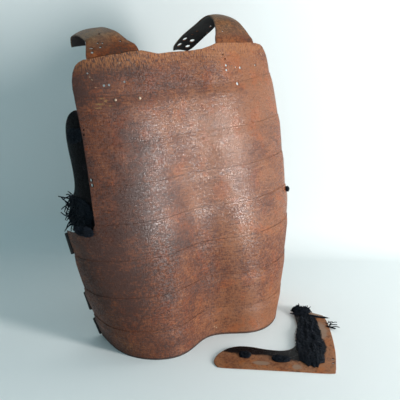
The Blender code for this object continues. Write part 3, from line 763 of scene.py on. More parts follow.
def edge_group():
    """A line along an edge, strongest at the edge and broken up by noise; it carries wear and rust, and also
    painted shade at seams and painted highlight at upper edges.
    """
    name = "edge_line"
    if name in bpy.data.node_groups:
        return bpy.data.node_groups[name]
    tree, wire, inputs, outputs = new_group(
        name, {"Vector": "Vector", "Distance": "Float", "Width": "Float"}, {"Mask": "Float"})
    near = wire.math("DIVIDE", inputs["Distance"], inputs["Width"])
    near = wire.plus(near, wire.noise(inputs["Vector"], "ragged edge"), 1.2)
    wire.feed(outputs, {"Mask": wire.mask(near, 1.35, 0.45)})
    return tree


def new_material(name):
    """A material whose tree holds only a Principled shader and its output."""
    material = bpy.data.materials.new(name)
    material.use_nodes = True
    return material, Wiring(material.node_tree), material.node_tree.nodes["Principled BSDF"]


def finish_shader(wire, shader, colour, rough, gloss):
    """Feeds the shader of a finish that has no bare metal."""
    wire.feed(shader.inputs, {"Base Color": colour, "Roughness": rough, "Metallic": 0.0,
                              "Specular IOR Level": gloss})


def spots_mask(wire, flat, ragged, spots):
    """Ragged patches: each spot is its centre and its reach both ways, in the flat place's metres."""
    total = None
    for x, y, reach_x, reach_y in spots:
        away = wire.vector("SUBTRACT", flat, (x, y, 0.0))[0]
        away = wire.vector("MULTIPLY", away, (1 / reach_x, 1 / reach_y, 0.0))[0]
        far = wire.vector("LENGTH", away)["Value"]
        here = wire.mask(wire.add(far, ragged), SPOT_EDGE, SPOT_CORE)
        total = here if total is None else wire.math("MAXIMUM", total, here)
    return total


def russet_material(colours):
    """The outside of the lames: russet patina, lighter at the top, with strokes, seams and worn edges; its
    left side is darkened as painted shade, each seam has a painted shade line above it, and the light line
    under each upper edge is partly wear and partly painted highlight.
    """
    material, wire, shader = new_material("russet_patina")
    place = wire.coordinates("Object")
    axes = wire.node("ShaderNodeSeparateXYZ", {"Vector": place}).outputs
    side, height = axes["X"], axes["Z"]
    flat = wire.node("ShaderNodeCombineXYZ", {"X": side, "Y": height}).outputs["Vector"]
    brush = wire.group(brush_group(), {"Vector": wire.coordinates("UV")})
    # Lighter and darker by height and by side; the side row is painted shade on the left
    tone = -LAME_DARKNESS
    for axis, start, full, lighter in LAME_TONES_AND_SIDE_SHADE:
        tone = wire.plus(tone, wire.mask(axes[axis], start, full), lighter)
    tone = wire.add(tone, wire.off_middle(brush["Strokes"], 0.5, 0.30))
    tone = wire.add(tone, wire.off_middle(brush["Ticks"], 0.5, 0.34))
    patina = wire.group(patina_group(), {
        "Vector": place, "Light": colours.tan, "Main": colours.russet, "Dark": colours.plum,
        "Rust": colours.rust, "Rust Amount": 0.26, "Tone": tone})
    broken = wire.mask(wire.noise(place, "broken seam"), 0.46, 0.60)
    colour = patina["Color"]
    for label, width, tint, strength in (
        # Light line under each upper edge: partly wear, partly painted highlight where the edge catches the
        # light
        ("below_edge", 0.0014, colours.tan, wire.times(broken, 0.30)),
        # Dark line above each seam: painted shade in the recess under the lame above
        ("above_seam", 0.0013, colours.plum, wire.times(broken, 0.55)),
        ("from_end", 0.0022, colours.plum, 0.45),
    ):
        colour = wire.lay(colour, tint, wire.edge_line(place, label, width), strength)
    colour = wire.lay(colour, colours.lacquer, wire.mask(height, 0.0040, 0.0018), 0.75)
    rusty_edge = wire.times(wire.mask(height, 0.384, 0.404), wire.mask(brush["Ticks"], 0.42, 0.56))
    colour = wire.lay(colour, RUSTY_EDGE, rusty_edge, 0.75)
    ragged = wire.off_middle(wire.noise(place, "scuffs"), 0.22, 2.2)
    for spots, strength, tint in ((GOLD_STREAKS, 0.45, GOLD), (PALE_SCUFFS, 0.55, SCUFF)):
        colour = wire.lay(colour, tint, spots_mask(wire, flat, ragged, spots), strength)
    speckle = wire.mask(wire.noise(place, "speckle"), 0.42, 0.57)
    dull = wire.add(wire.mask(height, 0.325, 0.372), wire.mask(height, 0.190, 0.120))
    polish = wire.times(wire.mask(side, 0.028, 0.050), wire.mask(side, 0.088, 0.068))
    rough = wire.add(wire.times(patina["Roughness"], 0.40), 0.12)
    rough = wire.plus(rough, speckle, 0.34)
    rough = wire.plus(rough, dull, 0.28)
    rough = wire.plus(rough, polish, -0.11, clamp=True)
    finish_shader(wire, shader, colour, rough, 0.45)
    relief = wire.plus(wire.times(patina["Height"], 0.8), brush["Strokes"], 0.5)
    wire.bump(shader, wire.plus(relief, brush["Ticks"], 0.5), 0.8, 0.0008)
    return material


def lacquer_material(colours, name, wear, gloss):
    """Black lacquer over iron, brown where it has worn thin."""
    material, wire, shader = new_material(name)
    place = wire.coordinates("Object")
    cloud = wire.noise(place, "lacquer clouds")
    flakes = wire.noise(place, "lacquer flakes")
    thin = wire.times(wire.mask(cloud, 0.50, 0.72), wire.mask(flakes, 0.45, 0.62))
    colour = wire.lay(colours.lacquer, colours.russet, thin, wear)
    finish_shader(wire, shader, colour, wire.add(wire.times(cloud, 0.30), 0.32), gloss)
    wire.bump(shader, wire.plus(flakes, thin, -0.6), 0.35, 0.0004)
    return material


def strap_material(colours):
    """The outside of the straps: olive-tan, duller than the lames, scuffed along the edges."""
    material, wire, shader = new_material("strap_patina")
    place, uv = wire.coordinates("Object"), wire.coordinates("UV")
    brush = wire.group(brush_group(), {"Vector": uv})
    along = wire.node("ShaderNodeSeparateXYZ", {"Vector": uv}).outputs["X"]
    free = wire.mask(along, 0.030, 0.062)
    patina = wire.group(patina_group(), {
        "Vector": place, "Light": wire.mix(free, colours.tan, STRAP_LIGHT),
        "Main": wire.mix(free, colours.russet, STRAP_MAIN), "Dark": STRAP_DARK,
        "Rust": colours.rust, "Rust Amount": 0.35, "Tone": wire.off_middle(brush["Strokes"], 0.42, 0.30)})
    colour = wire.lay(patina["Color"], STRAP_EDGE, wire.edge_line(place, "from_end", 0.0030), 0.5)
    finish_shader(wire, shader, colour, wire.add(patina["Roughness"], 0.30), 0.12)
    wire.bump(shader, wire.add(patina["Height"], brush["Strokes"]), 0.5, 0.0005)
    return material


def plate_material(colours, name, gloss, bare_spots, rust_spots, stain_spots):
    """An underarm plate: lacquer on iron, with patches of bare iron, rust and dark stain."""
    material, wire, shader = new_material(name)
    place, uv = wire.coordinates("Object"), wire.coordinates("UV")
    ragged = wire.off_middle(wire.noise(place, "patches"), 0.35, 0.9)
    patina = wire.group(patina_group(), {
        "Vector": place, "Light": PLATE_LIGHT, "Main": PLATE_MAIN, "Dark": PLATE_DARK,
        "Rust": colours.rust, "Rust Amount": 0.8, "Tone": 0.09})
    bloom = wire.mask(wire.noise(place, "lacquer bloom"), 0.50, 0.80)
    colour = wire.mix(bloom, colours.lacquer, PLATE_BLOOM)
    rough = wire.times(wire.noise(place, "plate gloss"), 0.55)
    if rust_spots:
        here = spots_mask(wire, uv, ragged, rust_spots)
        colour = wire.mix(here, colour, patina["Color"])
        rough = wire.plus(rough, here, 0.25, clamp=True)
    if bare_spots:
        worn = wire.lay(colours.bare, PLATE_BARE, patina["Height"], 0.9)
        colour = wire.mix(spots_mask(wire, uv, ragged, bare_spots), colour, worn)
    if stain_spots:
        colour = wire.mix(spots_mask(wire, uv, ragged, stain_spots), colour, colours.lacquer)
    colour = wire.lay(colour, PLATE_EDGE, wire.edge_line(place, "from_end", 0.0022), 0.75)
    finish_shader(wire, shader, colour, rough, gloss)
    wire.bump(shader, patina["Height"], 0.6, 0.0006)
    return material


def iron_material(name, colour, rust, rough):
    """Plain dark iron with a little rust and a grain."""
    material, wire, shader = new_material(name)
    grain = wire.noise(wire.coordinates("Object"), "iron")
    tint = wire.lay(colour, rust, wire.mask(grain, 0.52, 0.70), 0.6)
    rough = wire.add(wire.times(grain, 0.3), rough)
    wire.feed(shader.inputs, {"Base Color": tint, "Metallic": 0.35, "Roughness": rough})
    wire.bump(shader, grain, 0.4, 0.0003)
    return material


def silk_material(colours, name, lift):
    """Old silk: dull navy threads with a faint sheen, paler in clumps and fibres where dust and a painted
    sheen of the lit threads are laid in.
    """
    material, wire, shader = new_material(name)
    place = wire.coordinates("Object")
    fibre = wire.noise(place, "fibre")
    clump = wire.noise(place, "clumps")
    pale = tuple(navy + share * lift for navy, share in zip(colours.navy, DUST_AND_SHEEN_SHARES))
    # Paler clumps and fibres: dust, together with painted sheen standing in for threads catching the light
    colour = wire.mix(wire.mask(clump, 0.42, 0.70), colours.navy, pale)
    colour = wire.lay(colour, pale, wire.mask(fibre, 0.5, 0.7), 0.5)
    finish_shader(wire, shader, colour, 0.85, 0.12)
    wire.feed(shader.inputs, {"Sheen Weight": 0.03, "Sheen Roughness": 0.5})
    wire.bump(shader, wire.add(fibre, clump), 0.7, 0.0005)
    return material


# Lames

def lame_place(index, sizes):
    """How the flat grid of one lame is bent: its lower edge inside the next lame, its upper edge outside."""
    node, _, top, ends = LAMES[index]
    is_last = index == len(LAMES) - 1
    next_edge = 0.0 if is_last else LAMES[index + 1][2]
    bottom = 0.0 if is_last else next_edge - LAP
    step = (sizes.wall + sizes.seam_gap) / 2
    lower = LAP if is_last else bottom + LAP + 4 * sizes.seam_gap
    inner = 0.0 if is_last else -step
    lap_above = STRAP_LAP if index == 0 else LAP

    def place(across, up):
        up = 1 - (1 - up)**ROW_CROWDING
        top_angles, length = even_angles(ends, across, np.full_like(across, top))
        edge = upper_edge(node, top, top_angles)
        along = np.stack((np.sin(top_angles), np.cos(top_angles), np.full_like(across, top)), axis=-1)
        stray = waves(along, EDGE_WAVES, sizes.edge_wave)
        height = bottom + up * (edge + stray * (up > 0.5) - bottom)
        angle, _ = even_angles(ends, across, height)
        rest = body_points(angle, height)
        outward = np.interp(height, (lower, top - lap_above), (inner, step))
        outward = outward + waves(rest, DENT_WAVES, sizes.dent)
        thinned = np.clip((edge - height) / FEATHER_REACH, 0.0, 1.0)
        thinned = FEATHER_EDGE + (1 - FEATHER_EDGE) * thinned**2 * (3 - 2 * thinned)
        share = np.ones_like(height) if index == 0 else thinned
        outward = outward - 0.5 * sizes.wall * (1 - share)
        points = body_points(angle, height, outward)
        uv = np.stack(((across - 0.5) * length, height), axis=-1)
        measures = {
            "below_edge": edge - height,
            "above_seam": height - next_edge + (0.004 if is_last else 0.0),
            "from_end": np.minimum(across, 1 - across) * length,
            "wall_share": share,
        }
        return points, uv, measures
    return place


def slit_cutter(bm, x, height, length):
    """Adds an upright slit's cutting block to a bmesh."""
    matrix = body_facing(x, height) @ Matrix.Diagonal((LACING_SLIT_WIDTH, length, SLIT_CUT_DEPTH, 1.0))
    bmesh.ops.create_cube(bm, size=1.0, matrix=matrix)


def lame_cutter(index):
    """The pins and slits that pass through one lame, or nothing."""
    low = LAMES[index + 1][2] - LAP if index < len(LAMES) - 1 else 0.0
    high = LAMES[index][2] + 0.01
    places = [(body_facing(x, height), radius, radius) for x, height, radius in LAME_HOLES
              if low - radius < height < high]
    if not places:
        return None
    cutter = pins("lame_holes", places)
    if index == 0:
        bm = bmesh.new()
        bm.from_mesh(cutter.data)
        for slit in LACING_SLITS:
            slit_cutter(bm, *slit)
        bm.to_mesh(cutter.data)
        bm.free()
    return cutter


class ARMOUR_OT_make_lames(bpy.types.Operator):
    """Makes the eight lapped lames with their lacing holes"""

    bl_idname = "armour.make_lames"
    bl_label = "Make lames"

    def execute(self, context):
        sizes, colours = context.scene.armour_sizes, context.scene.armour_colours
        outside = russet_material(colours)
        inside = lacquer_material(colours, "inner_lacquer", 0.6, 0.22)
        for index, (node, name, _, _) in enumerate(LAMES):
            lame = bent_grid(name, sizes.lame_columns, sizes.lame_rows, lame_place(index, sizes),
                             outside, inside)
            weigh(lame, "wall_share")
            finish_sheet(lame, sizes.wall, lame_cutter(index), sizes.edge_round, "wall_share")
            keep(lame, [node])
        self.make_rivets(context)
        return {"FINISHED"}

    def make_rivets(self, context):
        """The two rivet heads that show through the patina."""
        colours, wall = context.scene.armour_colours, context.scene.armour_sizes.wall
        bm = bmesh.new()
        for x, height, radius in BARE_RIVETS:
            dome = body_facing(x, height, wall) @ Matrix.Diagonal((radius, radius, RIVET_DOME * radius, 1.0))
            bmesh.ops.create_uvsphere(bm, u_segments=16, v_segments=10, radius=1.0, matrix=dome)
        metal = iron_material("rivet_metal", RIVET_IRON, colours.verdigris, 0.4)
        rivets = mesh_object("bare_rivets", finish_bmesh("bare_rivets", bm), metal)
        keep(rivets, [])


# Straps

def curve_through(p0, p1, p2, p3, t):
    """A point at a share t of the way from p1 to p2, on a smooth curve through all four."""
    return 0.5 * (2 * p1 + (p2 - p0) * t + (2 * p0 - 5 * p1 + 4 * p2 - p3) * t**2
                  + (3 * p1 - p0 - 3 * p2 + p3) * t**3)


def strap_rows(free_rows):
    """Edge points of a right-hand strap, from its foot inside the neck lame to its front end."""
    free = np.array(free_rows)
    edges = np.array((free[0, 0] - STRAP_FOOT_SPREAD[0], free[0, 3] + STRAP_FOOT_SPREAD[1]))
    tucked = [np.stack((edges, neck_edge_height(edges) - tuck), axis=-1) for tuck in STRAP_TUCK]
    return tucked, free.reshape(-1, 2, 3)


def strap_stations(rows, across, inward):
    """Every row's points at shares across; the tucked rows follow the inside of the neck lame."""
    tucked, free = rows
    share = across[:, None]
    stations = []
    for pair in tucked:
        x, height = (pair[0] + share * (pair[1] - pair[0])).T
        stations.append(body_points(angle_at_x(x, height), height, np.full_like(x, -inward)))
    crown = STRAP_CAMBER * 4 * share * (1 - share)
    for k, (near, far) in enumerate(free):
        run = free[min(k + 1, len(free) - 1), 0] - free[max(k - 1, 0), 0]
        normal = np.cross(far - near, run)
        stations.append(near + share * (far - near) + crown * normal / np.linalg.norm(normal))
    return np.array(stations)


def strap_points(rows, along, across, inward):
    """Points of a right-hand strap at shares along and across, on a smooth curve through its rows."""
    along, across = np.atleast_1d(along), np.atleast_1d(across)
    stations = strap_stations(rows, across, inward)
    last = len(stations) - 1
    k = np.minimum((along * last).astype(int), last - 1)
    t = (along * last - k)[:, None]
    each = np.arange(len(across))
    p0, p1, p2, p3 = (stations[np.clip(k + step, 0, last), each] for step in (-1, 0, 1, 2))
    return np.where((k < len(STRAP_TUCK) - 1)[:, None], p1 + (p2 - p1) * t, curve_through(p0, p1, p2, p3, t))


def strap_place(rows, side, inward):
    """How the flat grid of one strap is bent; side is 1 for the right strap, -1 for the left."""
    def place(across, up):
        share = across if side > 0 else 1 - across
        points = strap_points(rows, up, share, inward)
        edges = [strap_points(rows, up, np.full_like(up, edge), inward) for edge in (0.0, 1.0)]
        width = np.linalg.norm(edges[1] - edges[0], axis=-1)
        shares = np.linspace(0, 1, STRAP_SAMPLES)
        spine = strap_points(rows, shares, np.full(STRAP_SAMPLES, 0.5), inward)
        run = np.concatenate(([0.0], np.cumsum(np.linalg.norm(np.diff(spine, axis=0), axis=-1))))
        reach = np.interp(up, shares, run)
        points = points * (side, 1, 1)
        outward = np.cross(edges[1] - edges[0], (0.0, 0.0, 1.0))
        dents = waves(points, STRAP_WAVES, STRAP_DENT)
        points = points + outward / np.linalg.norm(outward, axis=-1, keepdims=True) * dents[:, None]
        uv = np.stack((reach, (share - 0.5) * width), axis=-1)
        from_end = np.minimum(np.minimum(share, 1 - share) * width, run[-1] - reach)
        return points, uv, {"from_end": from_end}
    return place


def strap_cutter(rows, side, holes, inward):
    """Oval pins through a strap."""
    small = 1e-3
    mirror = Vector((side, 1, 1))
    places = []
    for along, across, radius_along, radius_across in holes:
        here, on, aside = (Vector(strap_points(rows, along + a, across + b, inward)[0]) * mirror
                           for a, b in ((0, 0), (small, 0), (0, small)))
        way, width = on - here, aside - here
        places.append((facing(here, width.cross(way), way), radius_across, radius_along))
    return pins("strap_holes", places)


class ARMOUR_OT_make_straps(bpy.types.Operator):
    """Makes the two shoulder straps with their cord holes"""

    bl_idname = "armour.make_straps"
    bl_label = "Make straps"

    def execute(self, context):
        sizes, colours = context.scene.armour_sizes, context.scene.armour_colours
        outside = strap_material(colours)
        inside = lacquer_material(colours, "strap_lacquer", 0.3, 0.05)
        step = (sizes.wall + sizes.seam_gap) / 2
        inward = sizes.strap_wall / 2 + sizes.wall / 2 - step + STRAP_SEAT_GAP
        for node, name, side, free_rows, holes in (
            ("strap_right", "right_shoulder_strap", 1, STRAP_RIGHT, STRAP_RIGHT_HOLES),
            ("strap_left", "left_shoulder_strap", -1, STRAP_LEFT, STRAP_LEFT_HOLES),
        ):
            rows = strap_rows(free_rows)
            strap = bent_grid(name, *STRAP_GRID, strap_place(rows, side, inward), outside, inside)
            cutter = strap_cutter(rows, side, holes, inward)
            finish_sheet(strap, sizes.strap_wall, cutter, sizes.edge_round)
            keep(strap, [node])
        return {"FINISHED"}


# Underarm plates

def smooth_outline(points, per_side):
    """A closed outline rounded by a curve through its points."""
    made = []
    count = len(points)
    for k in range(count):
        p0, p1, p2, p3 = (Vector(points[(k + j - 1) % count]) for j in range(4))
        for i in range(per_side):
            made.append(curve_through(p0, p1, p2, p3, i / per_side))
    return made


def outline_distance(points, outline):
    """Distance of each flat point from an outline."""
    ring = np.array(outline)
    return np.array([np.hypot(ring[:, 0] - p[0], ring[:, 1] - p[1]).min() for p in points])


def worn_plate_point(u, v, outward=0.0):
    """A point of the underarm plate in the left armhole: upright along u, forward along v."""
    foot = WORN_FOOT_HEIGHT + u * math.cos(LEAN_OF_SIDE)
    back_y = float(plan_xy(angle_at_x(ARMHOLE_LEFT, foot), foot)[1])
    forward = max(v, 0.0)
    turned = max(forward - WORN_TURN_START, 0.0)
    turn = turned / WORN_TURN_RADIUS
    x = WORN_START[0] - WORN_BOW * math.sin(min(forward / WORN_TURN_START, 1.0) * math.pi / 2)
    y = back_y + WORN_START[1] + (forward - turned) * math.cos(LEAN_OF_SIDE) + min(v, 0.0)
    x += WORN_TURN_RADIUS * (1 - math.cos(turn))
    y += WORN_TURN_RADIUS * math.sin(turn)
    z = foot - v * math.sin(LEAN_OF_SIDE)
    normal = Vector((-math.cos(turn), math.sin(turn), 0.0))
    return Vector((x, y, z)) + normal * outward


def smooth_step(low, high, value):
    t = min(max((value - low) / (high - low), 0.0), 1.0)
    return t * t * (3 - 2 * t)


def loose_plate_point(u, v, height=0.0):
    """A point over the plate that lies on the floor; the plate is slightly dished."""
    long_way = Vector((math.cos(LOOSE_HEADING), math.sin(LOOSE_HEADING), 0.0))
    short_way = Vector((long_way.y, -long_way.x, 0.0))
    dish = LOOSE_DISH * smooth_step(0.0, 0.060, min(u, v))
    return LOOSE_CORNER + long_way * u + short_way * v + Vector((0.0, 0.0, dish + height))


def plate_blank(name, outline):
    """The flat plate, cut across both ways so that it can be bent."""
    bm = bmesh.new()
    bm.faces.new([bm.verts.new((u, v, 0.0)) for u, v in outline])
    longest = max(max(u, v) for u, v in PLATE_OUTLINE)
    for axis in (Vector((1, 0, 0)), Vector((0, 1, 0))):
        for k in range(int(longest / PLATE_CUT_SPACING) + 1):
            everything = bm.verts[:] + bm.edges[:] + bm.faces[:]
            bmesh.ops.bisect_plane(bm, geom=everything, dist=MERGE_DISTANCE, plane_no=axis,
                                   plane_co=axis * (k + PLATE_CUT_START) * PLATE_CUT_SPACING)
    return finish_bmesh(name, bm, outward=False)


def make_plate(name, surface, holes, wall, rounding, *materials):
    """One underarm plate; surface takes u, v and a distance off the middle of its wall."""
    outline = smooth_outline(PLATE_OUTLINE, 3)
    mesh = plate_blank(name, outline)

    def place(u, v):
        points = np.array([surface(a, b, 0.0) for a, b in zip(u, v)])
        return points, np.stack((u, v), axis=-1), {"from_end": outline_distance(zip(u, v), outline)}
    bend_flat(mesh, place)
    middle = mesh.polygons[len(mesh.polygons) // 2]
    outer = surface(0.02, 0.02, 0.01) - surface(0.02, 0.02, 0.0)
    if middle.normal.dot(outer) < 0:
        mesh.flip_normals()
    small = 1e-4
    places = []
    for u, v, radius in holes:
        here = surface(u, v, 0.0)
        normal = surface(u, v, small) - here
        upward = surface(u + small, v, 0.0) - here
        places.append((facing(here, normal, upward), radius, radius))
    plate = mesh_object(name, mesh, *materials)
    finish_sheet(plate, wall, pins("plate_holes", places), rounding)
    return plate


class ARMOUR_OT_make_underarm_plates(bpy.types.Operator):
    """Makes the underarm plate in the left armhole and its mate on the floor"""

    bl_idname = "armour.make_underarm_plates"
    bl_label = "Make underarm plates"

    def execute(self, context):
        sizes, colours = context.scene.armour_sizes, context.scene.armour_colours
        inside = lacquer_material(colours, "plate_back_lacquer", 0.5, 0.15)
        # The plate in the armhole is all near-black lacquer, without the rust and bare patches of its mate:
        # partly its dark lacquer, partly painted shade
        worn_face = plate_material(colours, "worn_plate_lacquer_and_shade", 0.03, (), (), ())
        worn = make_plate("left_underarm_plate", worn_plate_point, WORN_PLATE_HOLES, sizes.plate_wall,
                          sizes.edge_round, worn_face, inside)
        keep(worn, ["underarm_plate_left"])
        loose_face = plate_material(colours, "loose_plate_patina", 0.10, LOOSE_BARE, LOOSE_RUST, LOOSE_STAINS)
        half = 0.5 * sizes.plate_wall
        loose = make_plate("loose_underarm_plate", lambda u, v, off: loose_plate_point(u, v, half + off),
                           LOOSE_PLATE_HOLES, sizes.plate_wall, sizes.edge_round, loose_face, inside)
        keep(loose, ["underarm_plate_loose"])
        return {"FINISHED"}


# Hinges

def node_copy(node, name, material):
    """A copy of a CAD node's mesh, its doubles merged and its flat faces joined."""
    bm = bmesh.new()
    bm.from_mesh(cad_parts[node].data)
    bmesh.ops.remove_doubles(bm, verts=bm.verts, dist=MERGE_DISTANCE)
    bmesh.ops.dissolve_limit(bm, angle_limit=math.radians(1), verts=bm.verts, edges=bm.edges)
    mesh = bpy.data.meshes.new(name)
    bm.to_mesh(mesh)
    bm.free()
    return mesh_object(name, mesh, material)


class ARMOUR_OT_make_hinges(bpy.types.Operator):
    """Makes the three hinge knuckles on the left front edge"""

    bl_idname = "armour.make_hinges"
    bl_label = "Make hinges"

    def execute(self, context):
        iron = iron_material("hinge_iron", HINGE_IRON, HINGE_RUST, 0.40)
        for place in ("upper", "middle", "lower"):
            hinge = node_copy("hinge_" + place, place + "_hinge_knuckle", iron)
            round_edges(hinge, HINGE_ROUNDING)
            apply_modifiers(hinge)
            hinge.data.shade_smooth()
            hinge.data.set_sharp_from_angle(angle=HINGE_SHARP_ANGLE)
            keep(hinge, ["hinge_" + place])
        return {"FINISHED"}


# Lacing

def on_worn_plate(u, v, wall):
    """Puts lacing on the outer face of the worn plate, around one point of it."""
    base = wall / 2 + LACE_GAP
    return lambda du, dv, out: worn_plate_point(u + du, v + dv, base + out)


def on_loose_plate(u, v, wall, turn=0.0, spread=0.0):
    """Puts lacing on the loose plate, turned in its plane and spread towards its outer corner."""
    base = wall + LACE_GAP
    c, s = math.cos(turn), math.sin(turn)

    def place(du, dv, up):
        du = du * (1 - spread * dv)
        return loose_plate_point(u + c * du - s * dv, v + s * du + c * dv, base + up)
    return place


def on_body(x, height, wall, seam_gap):
    """Puts lacing on the outer face of the body, around one point of it."""
    base = (wall + seam_gap) / 2 + wall / 2 + LACE_GAP
    angle = float(angle_at_x(x, height))
    here = body_point(angle, height)
    degree = math.radians(1)
    per_metre = degree / (body_point(angle + degree, height) - here).length
    return lambda across, up, out: body_point(angle + across * per_metre, height + up, base + out)


def lumps(at, bands, level):
    """A level with noise added in bands."""
    for fineness, strength in bands:
        level += strength * noise.noise(at * fineness)
    return level


def tangle_height(a, b, seed):
    """Relative height of a matted tangle at a place of its square, from -1 to 1 each way."""
    crown = (1 - 0.45 * a**4) * (1 - 0.45 * b**4)
    return max(0.12, crown * lumps(Vector((3.1 * a, 3.1 * b, seed)), TANGLE_LUMPS, 0.5) * 1.15)


def ragged_reach(a, b, seed):
    """How far the tangle's outline strays in and out round its square."""
    turn = math.atan2(b, a)
    at = Vector((1.6 * math.cos(turn), 1.6 * math.sin(turn), seed + 7.0))
    return lumps(at, OUTLINE_LUMPS, 1.0)


def tangle_place(place, size, a, b, share, seed):
    """A point of a tangle: a and b across its square, share of its height there."""
    reach = ragged_reach(a, b, seed)
    du = 0.5 * size[0] * a * (1 - 0.2 * b * b) * reach
    dv = 0.5 * size[1] * b * (1 - 0.2 * a * a) * reach
    return place(du, dv, size[2] * share * tangle_height(a, b, seed))


def make_tangle(name, place, size, cuts, seed, material):
    """A matted lump of lace with an uneven top."""
    bm = bmesh.new()
    bmesh.ops.create_cube(bm, size=2.0)
    bmesh.ops.subdivide_edges(bm, edges=bm.edges[:], cuts=cuts, use_grid_fill=True)
    for vert in bm.verts:
        a, b, c = vert.co
        vert.co = tangle_place(place, size, a, b, 0.5 * (c + 1), seed)
    return mesh_object(name, finish_bmesh(name, bm), material)


def tube_object(name, paths, radius, material, taper=0.7):
    """Threads along paths, joined as one mesh of thin tapering tubes."""
    curve = bpy.data.curves.new(name, "CURVE")
    curve.dimensions = "3D"
    curve.bevel_depth = radius
    curve.bevel_resolution = 1
    curve.use_fill_caps = True
    for path in paths:
        spline = curve.splines.new("POLY")
        spline.points.add(len(path) - 1)
        for k, (point, at) in enumerate(zip(spline.points, path)):
            point.co = (*at, 1.0)
            point.radius = 1 - (1 - taper) * k / (len(path) - 1)
    maker = mesh_object(name + "_curve", curve)
    mesh = made_mesh(maker)
    bpy.data.objects.remove(maker, do_unlink=True)
    bm = bmesh.new()
    bm.from_mesh(mesh)
    bmesh.ops.remove_doubles(bm, verts=bm.verts, dist=MERGE_DISTANCE)
    bpy.data.meshes.remove(mesh)
    return mesh_object(name, finish_bmesh(name, bm), material)


def surface_threads(place, size, count, seed):
    """Threads that wander over a tangle's top."""
    rng = random.Random(seed)
    paths = []
    for _ in range(count):
        a, b = (rng.uniform(-start, start) for start in THREAD_START)
        heading = rng.uniform(0, math.tau)
        path = []
        for k in range(THREAD_STEPS):
            arch = THREAD_ARCH * math.sin(math.pi * k / (THREAD_STEPS - 1))
            path.append(tangle_place(place, size, a, b, 1.0 + arch * rng.uniform(0.6, 1.0), seed_of(seed)))
            heading += rng.uniform(-THREAD_TURN, THREAD_TURN)
            a += THREAD_STRIDE / size[0] * 2 * math.cos(heading)
            b += THREAD_STRIDE / size[1] * 2 * math.sin(heading)
            a, b = (min(max(place_on, -THREAD_LIMIT), THREAD_LIMIT) for place_on in (a, b))
        paths.append(path)
    return paths


def seed_of(seed):
    """The noise seed that a tangle and its threads share."""
    return 11.3 * (seed % 97)


def free_strands(place, size, count, lengths, rise, seed):
    """Frayed ends that leave a patch and curl as they go."""
    rng = random.Random(seed)
    paths = []
    for _ in range(count):
        u, v = rng.uniform(-0.5, 0.5) * size[0], rng.uniform(-0.5, 0.5) * size[1]
        root = place(u, v, 0.0)
        out = (place(u, v, 0.01) - root).normalized()
        along = (place(u, v + 0.01, 0.0) - root).normalized()
        aside = out.cross(along)
        lean = out * rise + along * rng.uniform(-0.5, 0.9) + aside * rng.uniform(-0.9, 0.9)
        way = lean.normalized()
        length = rng.uniform(*lengths)
        curl = along * rng.uniform(-1, 1) + aside * rng.uniform(-1, 1) - Vector((0, 0, STRAND_FALL))
        curl = curl * STRAND_CURL
        point, path = root, []
        for _ in range(THREAD_STEPS):
            path.append(point.copy())
            way = (way + curl * rng.uniform(0.4, 1.3)).normalized()
            point = point + way * (length / (THREAD_STEPS - 1))
            point.z = max(point.z, LOWEST_STRAND)
        paths.append(path)
    return paths


